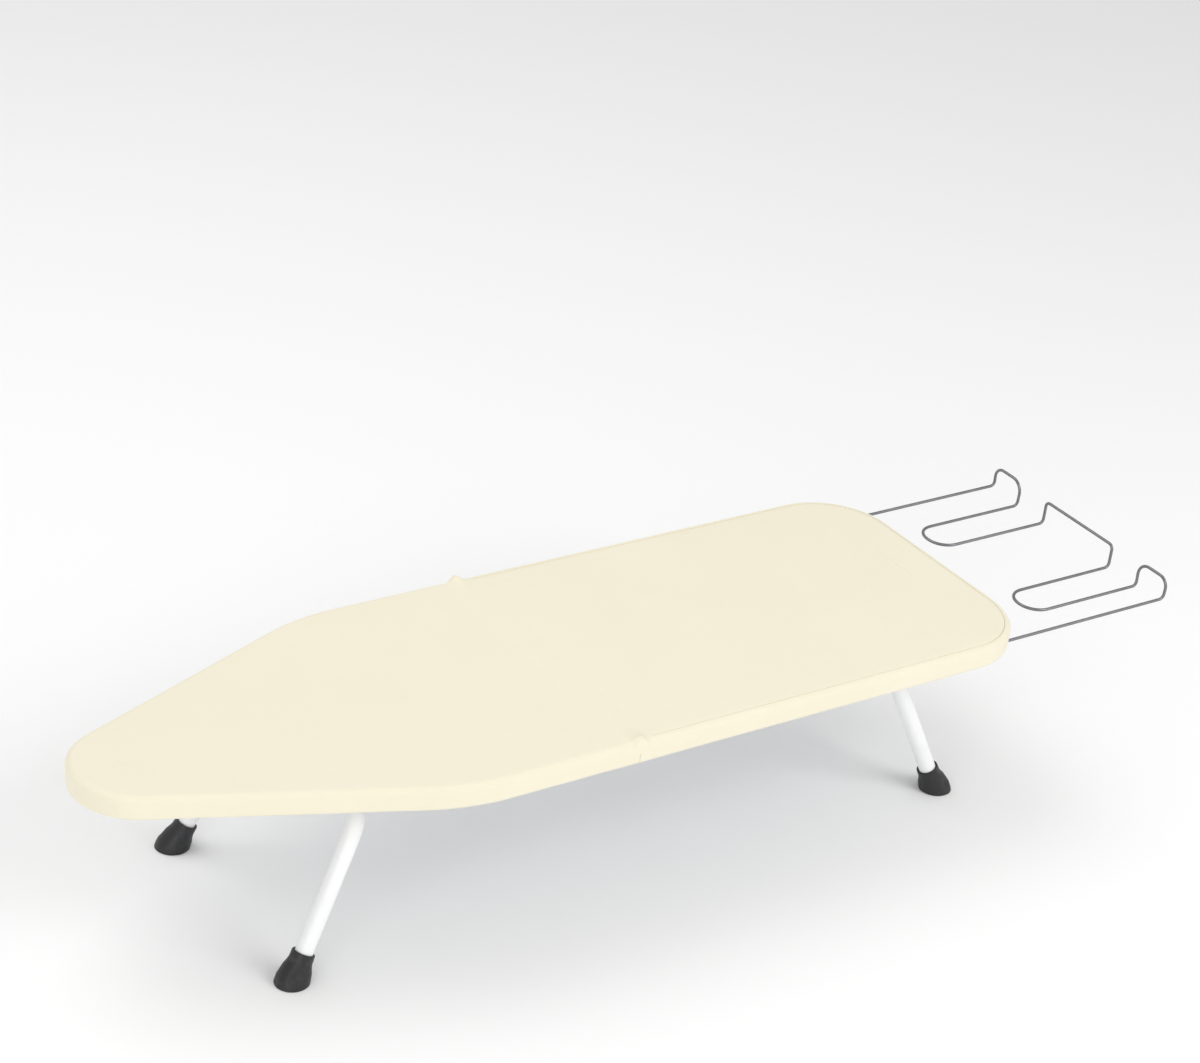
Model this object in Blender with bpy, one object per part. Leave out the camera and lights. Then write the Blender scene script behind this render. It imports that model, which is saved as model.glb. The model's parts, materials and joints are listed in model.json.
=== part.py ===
"""Folding table-top ironing board: two hinged halves on two folding leg loops.

Metres, +Z up. The origin is on the floor, midway along the whole length with the iron rest
pulled out. +X runs towards the iron rest, +Y to the far side. "Fold" coordinates measure X
from the fold line, outwards along each half.
"""
from math import asin, cos, pi, radians, sin

import bmesh
import bpy
from mathutils import Matrix, Vector

# Driving dimensions
HALF_LENGTH = 0.453
HALF_WIDTH = 0.1525
TOP_HEIGHT = 0.180
REAR_CORNER_RADIUS = 0.072
NOSE_TIP_RADIUS = 0.058
NOSE_TAPER = radians(21.5)
NOSE_SHOULDER_RADIUS = 0.20
REST_REACH = 0.634

# Everything is shifted so that the origin is midway between the nose and the iron rest
WIRE_RADIUS = 0.0015
FOLD_X = -(REST_REACH + WIRE_RADIUS - HALF_LENGTH) / 2

# Gaps and the stack of layers under the top surface
GAP = 0.0003
SKIM = 0.00005
FOLD_GAP = 0.0004
CLOTH = 0.0010
PAD_THICKNESS = 0.0044
DECK_THICKNESS = 0.0006
HEM_WIDTH = 0.0225
HEM_DROP = 0.0218
HEM_CORNER = 0.0015
HEM_INNER_CORNER = 0.0012
COVER_EDGE_RADIUS = 0.0060
PAD_INSET = 0.0052
BORE_PLAY = 0.0004
CUT_PAST = 0.010

# Room round the hinge ears in the cover and the pad
NOTCH_REACH = 0.0056
NOTCH_INSET = 0.0070
NOTCH_DEPTH = 0.0076

# Frame tube, bars and fold crossbar
FRAME_RADIUS = 0.0050
FRAME_BORE = 0.0040
FRAME_INSET = 0.0099
BAR_Y = 0.031
BAR_WIDTH = 0.013
BAR_DEPTH = 0.0072
SHEET = 0.0012
STRIP = 0.0015
BAR_START = 0.0010
CROSSBAR_START = 0.0007
CROSSBAR_WIDTH = 0.014
CROSSBAR_FLANGE = 0.0100
CROSSBAR_GAP_HALF_WIDTH = 0.0090

# Fold hinge
HINGE_RISE = 0.0006
EAR_RADIUS = 0.0028
PIN_RADIUS = 0.0011
PIN_HOLE_RADIUS = 0.0015
PLATE = 0.0015
PLATE_LENGTH = 0.030
PLATE_START = 0.0009
PLATE_CHAMFER = 0.003
PLATE_DROP = 0.0045
PIN_HEAD_THICKNESS = 0.0009

# Lock sleeves on the nose bars
SLEEVE_LENGTH = 0.054
SLEEVE_TRAVEL = 0.027
SLEEVE_STUD_X = 0.016
SLEEVE_START = 0.0020
SLEEVE_HEADROOM = 0.0006
STUD_GRIP = 0.0010

# Legs and feet
LEG_RADIUS = 0.00795
LEG_BORE = 0.0067
LEG_LEAN = radians(25)
LEG_BEND_RADIUS = 0.048
LEG_SHOULDER_Y = 0.093
LEG_FOOT_Y = 0.109
FRONT_PIVOT_X = 0.228
REAR_PIVOT_X = 0.321
LEG_CORNER_INSET = 0.0035
LEG_TUBE_STOP = 0.011
BRACKET_LENGTH = 0.048
BRACKET_WIDTH = 0.070
RIVET_X = 0.0175
RIVET_RADIUS = 0.0015
RIVET_HEAD_RADIUS = 0.0035
RIVET_HEAD_HEIGHT = 0.0023

# Rubber boots, with heights measured past the end of the tube
BOOT_WALL = 0.0022
BOOT_COLLAR_TOP = -0.0160
BOOT_COLLAR_LOW = -0.0080
BOOT_FLARE_TOP = -0.0010
BOOT_FLARE = 0.0030
BOOT_RADIUS = 0.0150
BOOT_WIDEST = (0.0080, 0.0150)
BOOT_SOLE_RADIUS = 0.0125
BOOT_SOLE_EDGE = 0.0260
BOOT_END = 0.0290

# Iron rest
REST_OUTER_Y = 0.126
REST_HUMP_Y = 0.089
REST_INNER_Y = 0.049
REST_LOOP_X = 0.500
REST_OUTER_DROP = 0.0188
REST_INNER_DROP = 0.0238
REST_HUMP_HEIGHT = 0.026
REST_ARCH_HEIGHT = 0.024
REST_TAIL_X = 0.352
REST_HUMP_LEAN = 0.001
REST_TIGHT_BEND = 0.005
REST_LOOP_BEND = 0.0195
REST_HUMP_BEND = 0.0180
GUIDE_X = 0.360
GUIDE_LENGTH = 0.024
GUIDE_HALF_TOP = 0.0060
GUIDE_HALF_WIDTH = 0.0035
GUIDE_LIP = 0.0015
GUIDE_NECK = 0.0040
GUIDE_FLOOR = 0.0040

# Storage latch
LATCH_WIRE_RADIUS = 0.0010
LATCH_HALF_SPAN = 0.008
LATCH_PIVOT_X = 0.411
LATCH_PIVOT_DROP = 0.0236
LATCH_REACH = 0.049
LATCH_HEIGHT = 0.050
LATCH_ARM = 0.084
LATCH_HANG = radians(193)
LATCH_BEND_RADIUS = 0.0022
CLIP_SIZE = 0.026
CLIP_PLAY = 0.0013
CLIP_BACK = 0.0065
CLIP_GRIP = 0.0042
CLIP_CHAMFER = 0.002
TONGUE_LENGTH = 0.016
TONGUE_HALF_WIDTH = 0.008
TONGUE_ROOT = 0.002
TONGUE_LIFT = 0.0012
BLOCK_HALF_LENGTH = 0.0050
BLOCK_HALF_WIDTH = 0.0060
BLOCK_FOOT = 0.003
BLOCK_FLOOR = 0.0030
BLOCK_CHAMFER = 0.002

# Levels worked out from the stack
DECK_TOP = TOP_HEIGHT - CLOTH - PAD_THICKNESS - 2 * GAP
DECK_BOTTOM = DECK_TOP - DECK_THICKNESS
FRAME_Z = DECK_BOTTOM - GAP - FRAME_RADIUS
STRIP_TOP = DECK_BOTTOM - GAP
BAR_TOP = STRIP_TOP - STRIP - GAP
BAR_BOTTOM = BAR_TOP - BAR_DEPTH
HINGE_Z = TOP_HEIGHT + HINGE_RISE
LEG_Z = BAR_BOTTOM - GAP - LEG_RADIUS
HEM_BOTTOM = TOP_HEIGHT - HEM_DROP

WHITE_PAINT = ("white_paint", (0.90, 0.90, 0.90), 0.35, 0.0)
CREAM_COTTON = ("cream_cotton", (0.91, 0.86, 0.72), 0.90, 0.0)
GREY_FELT = ("grey_felt", (0.66, 0.70, 0.78), 0.95, 0.0)
BARE_STEEL = ("bare_steel", (0.45, 0.45, 0.46), 0.30, 1.0)
BLACK_RUBBER = ("black_rubber", (0.03, 0.03, 0.032), 0.60, 0.0)
BLACK_PLASTIC = ("black_plastic", (0.02, 0.02, 0.022), 0.45, 0.0)


# Materials and objects

def material(finish):
    name, colour, roughness, metallic = finish
    found = bpy.data.materials.get(name)
    if found:
        return found
    made = bpy.data.materials.new(name)
    made.use_nodes = True
    shader = made.node_tree.nodes["Principled BSDF"]
    shader.inputs["Base Color"].default_value = (*colour, 1.0)
    shader.inputs["Roughness"].default_value = roughness
    shader.inputs["Metallic"].default_value = metallic
    made.diffuse_color = (*colour, 1.0)
    return made


def add_object(name, points, faces, finish, smooth_angle=None):
    mesh = bpy.data.meshes.new(name)
    mesh.from_pydata([tuple(point) for point in points], [], faces)
    made = bpy.data.objects.new(name, mesh)
    bpy.context.scene.collection.objects.link(made)
    recalculate_normals(mesh)
    if finish:
        mesh.materials.append(material(finish))
    if smooth_angle:
        mesh.shade_smooth()
        mesh.set_sharp_from_angle(angle=radians(smooth_angle))
    return made


def recalculate_normals(mesh):
    shape = bmesh.new()
    shape.from_mesh(mesh)
    bmesh.ops.recalc_face_normals(shape, faces=shape.faces)
    shape.to_mesh(mesh)
    shape.free()


def add_empty(name, place, parent=None):
    made = bpy.data.objects.new(name, None)
    bpy.context.scene.collection.objects.link(made)
    made.location = place
    made.parent = parent
    return made


def put(made, place, parent=None, turn_y=0.0):
    made.location = place
    made.rotation_euler = (0, turn_y, 0)
    made.parent = parent
    return made


def cut(target, cutters):
    """Subtract every cutter from the target; a cutter is a guide and isn't built."""
    for number, cutter in enumerate(cutters):
        cutter.hide_render = True
        cutter.display_type = "WIRE"
        cutter.parent = target.parent
        step = target.modifiers.new(f"cut_{number}", "BOOLEAN")
        step.operation = "DIFFERENCE"
        step.object = cutter
    return target


# Solids

def prism(name, outline, axis, low, high, finish, smooth_angle=None):
    """Extrude an outline along an axis; the outline's two numbers are the other two axes in order."""
    count = len(outline)
    points = []
    for level in (low, high):
        for first, second in outline:
            place = [first, second]
            place.insert(axis, level)
            points.append(place)
    faces = [[turn, (turn + 1) % count, (turn + 1) % count + count, turn + count]
             for turn in range(count)]
    faces.append(list(range(count))[::-1])
    faces.append(list(range(count, 2 * count)))
    return add_object(name, points, faces, finish, smooth_angle)


def box(name, low, high, finish):
    outline = [(low[0], low[1]), (high[0], low[1]), (high[0], high[1]), (low[0], high[1])]
    return prism(name, outline, 2, low[2], high[2], finish)


def cylinder(name, centre, radius, length, axis, finish=None, sides=16):
    """A rod centred on a point, along X, Y or Z."""
    others = [centre[index] for index in range(3) if index != axis]
    outline = [(others[0] + radius * cos(2 * pi * turn / sides),
                others[1] + radius * sin(2 * pi * turn / sides)) for turn in range(sides)]
    low = centre[axis] - length / 2
    return prism(name, outline, axis, low, low + length, finish, smooth_angle=40)


def lathe(name, profile, finish, place, direction, sides=16):
    """Turn a profile of (radius, height) pairs; an end at radius 0 is a pole."""
    turn_to = Vector((0, 0, 1)).rotation_difference(Vector(direction)).to_matrix()
    points, rings = [], []
    for radius, height in profile:
        ring_size = 1 if radius == 0 else sides
        rings.append(range(len(points), len(points) + ring_size))
        for turn in range(ring_size):
            angle = 2 * pi * turn / sides
            spot = Vector((radius * cos(angle), radius * sin(angle), height))
            points.append(turn_to @ spot + Vector(place))
    faces = []
    for lower, upper in zip(rings, rings[1:]):
        for turn in range(sides):
            after = (turn + 1) % sides
            corners = [lower[turn % len(lower)], lower[after % len(lower)],
                       upper[after % len(upper)], upper[turn % len(upper)]]
            faces.append(list(dict.fromkeys(corners)))
    return add_object(name, points, faces, finish, smooth_angle=40)


def tube(name, path, radius, finish, sides=12, bore=None):
    """Sweep a round section along a path of points; a bore leaves both ends open."""
    path = [Vector(point) for point in path]
    side = first_side(path)
    frames = []
    for index, point in enumerate(path):
        before = path[max(index - 1, 0)]
        after = path[min(index + 1, len(path) - 1)]
        along = (after - before).normalized()
        side = (side - along * side.dot(along)).normalized()
        frames.append((point, side, along.cross(side)))
    walls = [radius] if bore is None else [radius, bore]
    points = []
    for wall in walls:
        for point, across, up in frames:
            for turn in range(sides):
                angle = 2 * pi * (turn + 0.5) / sides
                points.append(point + wall * (across * cos(angle) + up * sin(angle)))
    faces = []
    wall_size = sides * len(path)
    for wall in range(len(walls)):
        for ring in range(len(path) - 1):
            start = wall * wall_size + ring * sides
            for turn in range(sides):
                after = (turn + 1) % sides
                faces.append([start + turn, start + after,
                              start + sides + after, start + sides + turn])
    last = wall_size - sides
    if bore is None:
        faces += [list(range(sides)), list(range(last, wall_size))]
    else:
        for end in (0, last):
            for turn in range(sides):
                after = (turn + 1) % sides
                faces.append([end + turn, end + after,
                              end + after + wall_size, end + turn + wall_size])
    return add_object(name, points, faces, finish, smooth_angle=40)


def first_side(path):
    along = (path[1] - path[0]).normalized()
    guide = Vector((0, 0, 1)) if abs(along.z) < 0.9 else Vector((1, 0, 0))
    return along.cross(guide).normalized()


def rounded(corners, radius, steps=4):
    """Replace each inner corner of a path with an arc."""
    corners = [Vector(corner) for corner in corners]
    path = [corners[0]]
    for before, corner, after in zip(corners, corners[1:], corners[2:]):
        into, out = (before - corner).normalized(), (after - corner).normalized()
        half = into.angle(out) / 2
        reach = min(radius / abs(sin(half) / cos(half)),
                    0.49 * (before - corner).length, 0.49 * (after - corner).length)
        bend = reach * sin(half) / cos(half)
        centre = corner + (into + out).normalized() * (bend / sin(half))
        start, end = corner + into * reach - centre, corner + out * reach - centre
        sweep = start.angle(end)
        for step in range(steps + 1):
            share = step / steps
            spot = (start * sin((1 - share) * sweep) + end * sin(share * sweep)) / sin(sweep)
            path.append(centre + spot)
    path.append(corners[-1])
    return path


# Board outline, in fold coordinates, from the +Y side of the fold round to the -Y side

def rear_outline(inset, start=FOLD_GAP, steps=7):
    radius = REAR_CORNER_RADIUS - inset
    centre_x, centre_y = HALF_LENGTH - REAR_CORNER_RADIUS, HALF_WIDTH - REAR_CORNER_RADIUS
    quarter = [(centre_x + radius * sin(pi / 2 * step / steps),
                centre_y + radius * cos(pi / 2 * step / steps)) for step in range(steps + 1)]
    return mirrored([(start, HALF_WIDTH - inset)] + quarter)


def nose_outline(inset, start=FOLD_GAP, shoulder_steps=3, tip_steps=5):
    tip_x = HALF_LENGTH - NOSE_TIP_RADIUS
    shoulder_y = HALF_WIDTH - NOSE_SHOULDER_RADIUS
    shoulder_x = tip_x + (NOSE_TIP_RADIUS - NOSE_SHOULDER_RADIUS
                          - shoulder_y * cos(NOSE_TAPER)) / sin(NOSE_TAPER)
    side = [(start, HALF_WIDTH - inset)]
    for step in range(shoulder_steps + 1):
        angle = NOSE_TAPER * step / shoulder_steps
        side.append((shoulder_x + (NOSE_SHOULDER_RADIUS - inset) * sin(angle),
                     shoulder_y + (NOSE_SHOULDER_RADIUS - inset) * cos(angle)))
    for step in range(tip_steps + 1):
        angle = NOSE_TAPER + (pi / 2 - NOSE_TAPER) * step / tip_steps
        side.append((tip_x + (NOSE_TIP_RADIUS - inset) * sin(angle),
                     (NOSE_TIP_RADIUS - inset) * cos(angle)))
    return mirrored(side[:-1], tip=side[-1])


def mirrored(side, tip=None):
    middle = [(tip[0], 0.0)] if tip else []
    return side + middle + [(along, -across) for along, across in reversed(side)]


class Half:
    """One half of the board: where it points, its outline and its empties."""

    def __init__(self, name, sign, outline, pivot_x):
        self.name = name
        self.sign = sign
        self.outline = outline
        self.pivot_x = pivot_x
        self.base = add_empty(f"{name}_board_axis", (FOLD_X, 0, HINGE_Z))

    def place(self, along, across, height):
        """A point in the half's own frame, whose origin is on the fold axis."""
        return (self.sign * along, across, height - HINGE_Z)

    def ring(self, inset, height, start=FOLD_GAP):
        return [self.place(along, across, height)
                for along, across in self.outline(inset, start)]

    def plan(self, inset, start=FOLD_GAP):
        return [(self.sign * along, across) for along, across in self.outline(inset, start)]

    def hang(self, made):
        made.parent = self.base
        return made


# Board pieces

def add_slab(half, piece, inset, top, thickness, finish, start=FOLD_GAP):
    made = prism(f"{half.name}_{piece}", half.plan(inset, start), 2,
                 top - thickness - HINGE_Z, top - HINGE_Z, finish)
    return half.hang(made)


def add_cover(half):
    """Cloth shell: flat top, rounded edge, skirt and a hem turned under, open at the fold."""
    edge, low = COVER_EDGE_RADIUS, HEM_BOTTOM
    outer = [(HEM_WIDTH, low), (HEM_CORNER, low), (0, low + HEM_CORNER)]
    inner = [(HEM_WIDTH, low + CLOTH), (CLOTH + HEM_INNER_CORNER, low + CLOTH),
             (CLOTH, low + CLOTH + HEM_INNER_CORNER)]
    for step in range(4):
        angle = pi / 2 * step / 3
        outer.append((edge * (1 - cos(angle)), TOP_HEIGHT - edge * (1 - sin(angle))))
        shell = edge - CLOTH
        inner.append((edge - shell * cos(angle), TOP_HEIGHT - edge + shell * sin(angle)))
    profile = outer + inner[::-1]
    rings = [half.ring(inset, height) for inset, height in profile]
    size = len(rings[0])
    points = [point for ring in rings for point in ring]
    faces = []
    turns = len(outer)
    for ring in range(len(rings)):
        after = (ring + 1) % len(rings)
        if ring == turns - 1:
            continue
        for step in range(size - 1):
            faces.append([ring * size + step, ring * size + step + 1,
                          after * size + step + 1, after * size + step])
    faces.append([(turns - 1) * size + step for step in range(size)])
    faces.append([turns * size + step for step in range(size)])
    for end in (0, size - 1):
        for ring in range(turns - 1):
            mate = len(rings) - 1 - ring
            faces.append([ring * size + end, (ring + 1) * size + end,
                          (mate - 1) * size + end, mate * size + end])
    top, under = (turns - 1) * size, turns * size
    faces.append([top, top + size - 1, under + size - 1, under])
    cover = half.hang(add_object(f"{half.name}_cover", points, faces, CREAM_COTTON, 50))
    return cut(cover, hinge_notches(half, "cover") + rest_holes(half))


def rest_holes(half):
    """Holes in the rear skirt that the iron rest's two legs pass through."""
    if half.name != "rear":
        return []
    drop = -REST_OUTER_DROP - HINGE_RISE
    reach = REAR_CORNER_RADIUS
    return [cylinder(f"cut_cover_rest_{side}", (HALF_LENGTH, side * REST_OUTER_Y, drop),
                     WIRE_RADIUS + BORE_PLAY, reach, 0, sides=12) for side in (1, -1)]


def hinge_notches(half, piece):
    """Boxes that leave room round the hinge ears at the fold's two corners."""
    boxes = []
    for side in (1, -1):
        across = sorted((side * (HALF_WIDTH - NOTCH_INSET), side * (HALF_WIDTH + CUT_PAST)))
        boxes.append(box(f"cut_{half.name}_{piece}_{side}", (-NOTCH_REACH, across[0], -NOTCH_DEPTH),
                         (NOTCH_REACH, across[1], CUT_PAST), None))
    return boxes


def add_pad(half):
    pad = add_slab(half, "pad", PAD_INSET, DECK_TOP + GAP + PAD_THICKNESS, PAD_THICKNESS,
                   GREY_FELT, start=FOLD_GAP + GAP)
    return cut(pad, hinge_notches(half, "pad"))


def add_frame(half):
    path = [half.place(along, across, FRAME_Z)
            for along, across in half.outline(FRAME_INSET, BAR_START)]
    half.hang(tube(f"{half.name}_frame_tube", path, FRAME_RADIUS, WHITE_PAINT, 12, FRAME_BORE))
    add_slab(half, "deck_mesh", PAD_INSET, DECK_TOP, DECK_THICKNESS, WHITE_PAINT,
             2 * FOLD_GAP)


def add_crossbar(half):
    """Angle strip along the fold, with a gap in its flange for each bar and sleeve."""
    top, face, flange = STRIP_TOP - HINGE_Z, CROSSBAR_START, CROSSBAR_FLANGE
    profile = [(face, top), (face + CROSSBAR_WIDTH, top), (face + CROSSBAR_WIDTH, top - STRIP),
               (face + STRIP, top - STRIP), (face + STRIP, top - flange), (face, top - flange)]
    reach = HALF_WIDTH - FRAME_INSET - FRAME_RADIUS - GAP
    outline = [(half.sign * along, height) for along, height in profile]
    strip = half.hang(prism(f"{half.name}_crossbar", outline, 1, -reach, reach, WHITE_PAINT))
    gaps = []
    for side in (1, -1):
        near, far = side * BAR_Y - CROSSBAR_GAP_HALF_WIDTH, side * BAR_Y + CROSSBAR_GAP_HALF_WIDTH
        gaps.append(box(f"cut_{half.name}_crossbar_{side}", (-CUT_PAST, near, top - flange - CUT_PAST),
                        (CUT_PAST, far, top - STRIP - SKIM), None))
    return cut(strip, gaps)


def bar_end(half):
    """How far a bar reaches before it meets the inside of the frame tube."""
    ring = half.outline(FRAME_INSET + FRAME_RADIUS + GAP, 0.0)
    reach = BAR_Y + BAR_WIDTH / 2
    for first, second in zip(ring, ring[1:]):
        if first[1] >= reach > second[1]:
            share = (first[1] - reach) / (first[1] - second[1])
            return first[0] + share * (second[0] - first[0])
    return HALF_LENGTH - FRAME_INSET - FRAME_RADIUS - GAP


def add_bars(half):
    """Two folded channels under the deck, open upwards."""
    top, bottom = BAR_TOP - HINGE_Z, BAR_BOTTOM - HINGE_Z
    wide, end = BAR_WIDTH / 2, bar_end(half)
    for label, side in (("left", 1), ("right", -1)):
        middle = side * BAR_Y
        outline = [(middle - wide, top), (middle - wide, bottom), (middle + wide, bottom),
                   (middle + wide, top), (middle + wide - SHEET, top),
                   (middle + wide - SHEET, bottom + SHEET), (middle - wide + SHEET, bottom + SHEET),
                   (middle - wide + SHEET, top)]
        ends = sorted((half.sign * BAR_START, half.sign * end))
        bar = half.hang(prism(f"{half.name}_bar_{label}", outline, 0, *ends, WHITE_PAINT))
        holes = [(half.sign * (half.pivot_x + shift), middle) for shift in (-RIVET_X, RIVET_X)]
        if half.name == "nose":
            holes.append((half.sign * SLEEVE_STUD_X, middle))
        cut(bar, [stud_hole(f"cut_{half.name}_{label}_{number}", spot, bottom)
                  for number, spot in enumerate(holes)])


def stud_hole(name, spot, height):
    return cylinder(name, (*spot, height), RIVET_RADIUS + BORE_PLAY, 2 * (STRIP + GAP), 2, sides=12)


def add_rivet(name, parent, spot, head_top, reach):
    """Domed head below a plate, with a shank that reaches up through it."""
    head, shank, deep = RIVET_HEAD_RADIUS, RIVET_RADIUS, -RIVET_HEAD_HEIGHT
    profile = [(0, reach), (shank, reach), (shank, 0), (head, 0), (head, 0.3 * deep),
               (0.75 * head, 0.75 * deep), (0.35 * head, 0.96 * deep), (0, deep)]
    made = lathe(name, profile, BARE_STEEL, (*spot, head_top), (0, 0, 1), sides=12)
    made.parent = parent
    return made


def add_leg_bracket(half, end_name):
    """Omega saddle riveted under the two bars, holding the top of the leg loop."""
    centre_x, centre_z = half.sign * half.pivot_x, LEG_Z - HINGE_Z
    inner = LEG_RADIUS + BORE_PLAY
    outer = inner + STRIP
    high = BAR_BOTTOM - GAP - LEG_Z
    low, reach = high - STRIP, BRACKET_LENGTH / 2
    outline = [(-reach, high), (-reach, low)]
    outline += arc_below(outer, low, 18)
    outline += [(reach, low), (reach, high)]
    outline += arc_below(inner, high, 18)[::-1]
    outline = [(centre_x + along, centre_z + height) for along, height in outline]
    saddle = half.hang(prism(f"{end_name}_leg_bracket", outline, 1, -BRACKET_WIDTH / 2,
                             BRACKET_WIDTH / 2, WHITE_PAINT, 30))
    spots = [(centre_x + shift, side * BAR_Y) for shift in (-RIVET_X, RIVET_X) for side in (1, -1)]
    cut(saddle, [stud_hole(f"cut_{end_name}_bracket_{number}", spot, centre_z + low)
                 for number, spot in enumerate(spots)])
    for number, spot in enumerate(spots):
        add_rivet(f"{end_name}_bracket_rivet_{number + 1}", half.base, spot,
                  centre_z + low - GAP, 2 * STRIP + SHEET)


def arc_below(radius, level, steps):
    """Points of a circle from where it crosses a level on the left, under, to the right."""
    rise = asin(level / radius)
    sweep = pi + 2 * rise
    return [(radius * cos(pi - rise + sweep * step / steps),
             radius * sin(pi - rise + sweep * step / steps)) for step in range(steps + 1)]


# Fold hinge

def add_hinge(rear, nose):
    outer_face = HALF_WIDTH - CLOTH - GAP
    for label, side in (("left", 1), ("right", -1)):
        add_hinge_plate(rear, label, side, outer_face - PLATE, outer_face)
        add_hinge_plate(nose, label, side, outer_face - 2 * PLATE - GAP, outer_face - PLATE - GAP)
        inner_face = outer_face - 2 * PLATE - GAP
        add_hinge_pin(rear, label, side, inner_face, outer_face)


def add_hinge_plate(half, label, side, inner, outer):
    """Flat arm beside the frame tube with an ear that rises to the fold axis."""
    low, high = FRAME_Z - PLATE_DROP - HINGE_Z, -COVER_EDGE_RADIUS - CLOTH
    chamfer, end = PLATE_CHAMFER, PLATE_LENGTH
    profile = [(PLATE_START, low), (end - chamfer, low), (end, low + chamfer),
               (end, high - chamfer), (end - chamfer, high), (EAR_RADIUS, high)]
    profile += [(EAR_RADIUS * cos(pi * step / 9), EAR_RADIUS * sin(pi * step / 9))
                for step in range(13)]
    profile.append((PLATE_START, -EAR_RADIUS - GAP))
    outline = [(half.sign * along, height) for along, height in profile]
    span = sorted((side * inner, side * outer))
    plate = half.hang(prism(f"{half.name}_hinge_plate_{label}", outline, 1, *span, WHITE_PAINT, 30))
    hole = cylinder(f"cut_{half.name}_plate_{label}", (0, side * (inner + outer) / 2, 0),
                    PIN_HOLE_RADIUS, 4 * PLATE, 1)
    return cut(plate, [hole])


def add_hinge_pin(half, label, side, inner, outer):
    """Riveted pin: a head on each side of the two ears."""
    head, crown, thick = 2 * PIN_RADIUS, 1.4 * PIN_RADIUS, PIN_HEAD_THICKNESS
    start, end = inner - GAP, outer + GAP
    profile = [(0, start - thick), (crown, start - thick), (head, start - thick / 2), (head, start),
               (PIN_RADIUS, start), (PIN_RADIUS, end), (head, end), (head, end + thick / 2),
               (crown, end + thick), (0, end + thick)]
    pin = lathe(f"hinge_pin_{label}", profile, BARE_STEEL, (0, 0, 0), (0, side, 0), sides=12)
    return half.hang(pin)


# Lock sleeves

def add_lock_sleeves(nose):
    """Sliding channels over the fold ends of the nose bars, each slotted for a stud."""
    bottom = BAR_BOTTOM - HINGE_Z
    wide, wall, high = BAR_WIDTH / 2 + GAP, SHEET, BAR_TOP - HINGE_Z - SLEEVE_HEADROOM
    for label, side in (("left", 1), ("right", -1)):
        middle = side * BAR_Y
        slider = add_empty(f"lock_sleeve_{label}_slide", (0, middle, bottom), nose.base)
        floor = -GAP
        rim, out = high - bottom, wide + wall
        outline = [(-out, rim), (-out, floor - wall), (out, floor - wall), (out, rim),
                   (wide, rim), (wide, floor), (-wide, floor), (-wide, rim)]
        near = SLEEVE_START
        sleeve = prism(f"lock_sleeve_{label}", outline, 0, -near - SLEEVE_LENGTH, -near, WHITE_PAINT)
        sleeve.parent = slider
        slot = stadium(f"cut_sleeve_{label}", -SLEEVE_STUD_X - SLEEVE_TRAVEL, -SLEEVE_STUD_X,
                       RIVET_RADIUS + BORE_PLAY, floor - 2 * wall, floor + wall)
        cut(sleeve, [slot])
        head_top = bottom - 2 * GAP - wall
        add_rivet(f"lock_sleeve_stud_{label}", nose.base, (-SLEEVE_STUD_X, middle), head_top,
                  2 * GAP + wall + SHEET + STUD_GRIP)


def stadium(name, start, end, radius, low, high):
    turns = [pi * step / 8 for step in range(9)]
    outline = [(end + radius * sin(turn), -radius * cos(turn)) for turn in turns]
    outline += [(start - radius * sin(turn), radius * cos(turn)) for turn in turns]
    return prism(name, outline, 2, low, high, None)


# Legs

def add_leg(half, end_name):
    """Bent tube loop with its top along the pivot axis, leaning outwards, and two rubber boots."""
    pivot = add_empty(f"{end_name}_leg_pivot", half.place(half.pivot_x, 0, LEG_Z), half.base)
    pivot.rotation_euler = (0, -half.sign * LEG_LEAN, 0)
    floor_drop = LEG_Z / cos(LEG_LEAN)
    tube_drop = floor_drop - LEG_TUBE_STOP
    splay = (LEG_FOOT_Y - LEG_SHOULDER_Y) / (floor_drop - LEG_BEND_RADIUS)
    foot_y = LEG_SHOULDER_Y + splay * (tube_drop - LEG_BEND_RADIUS)
    path = leg_path(foot_y, tube_drop)
    leg = tube(f"{end_name}_leg_tube", path, LEG_RADIUS, WHITE_PAINT, 16, LEG_BORE)
    leg.parent = pivot
    for label, side in (("left", 1), ("right", -1)):
        end = Vector((0, side * foot_y, -tube_drop))
        along = Vector((0, side * splay, -1)).normalized()
        boot = add_boot(f"{end_name}_foot_{label}", end, along, -half.sign * LEG_LEAN)
        boot.parent = pivot


def leg_path(foot_y, tube_drop):
    corner_y = LEG_SHOULDER_Y - LEG_CORNER_INSET
    corners = [(0, foot_y, -tube_drop), (0, corner_y, 0),
               (0, -corner_y, 0), (0, -foot_y, -tube_drop)]
    return rounded(corners, LEG_BEND_RADIUS, steps=8)


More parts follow.
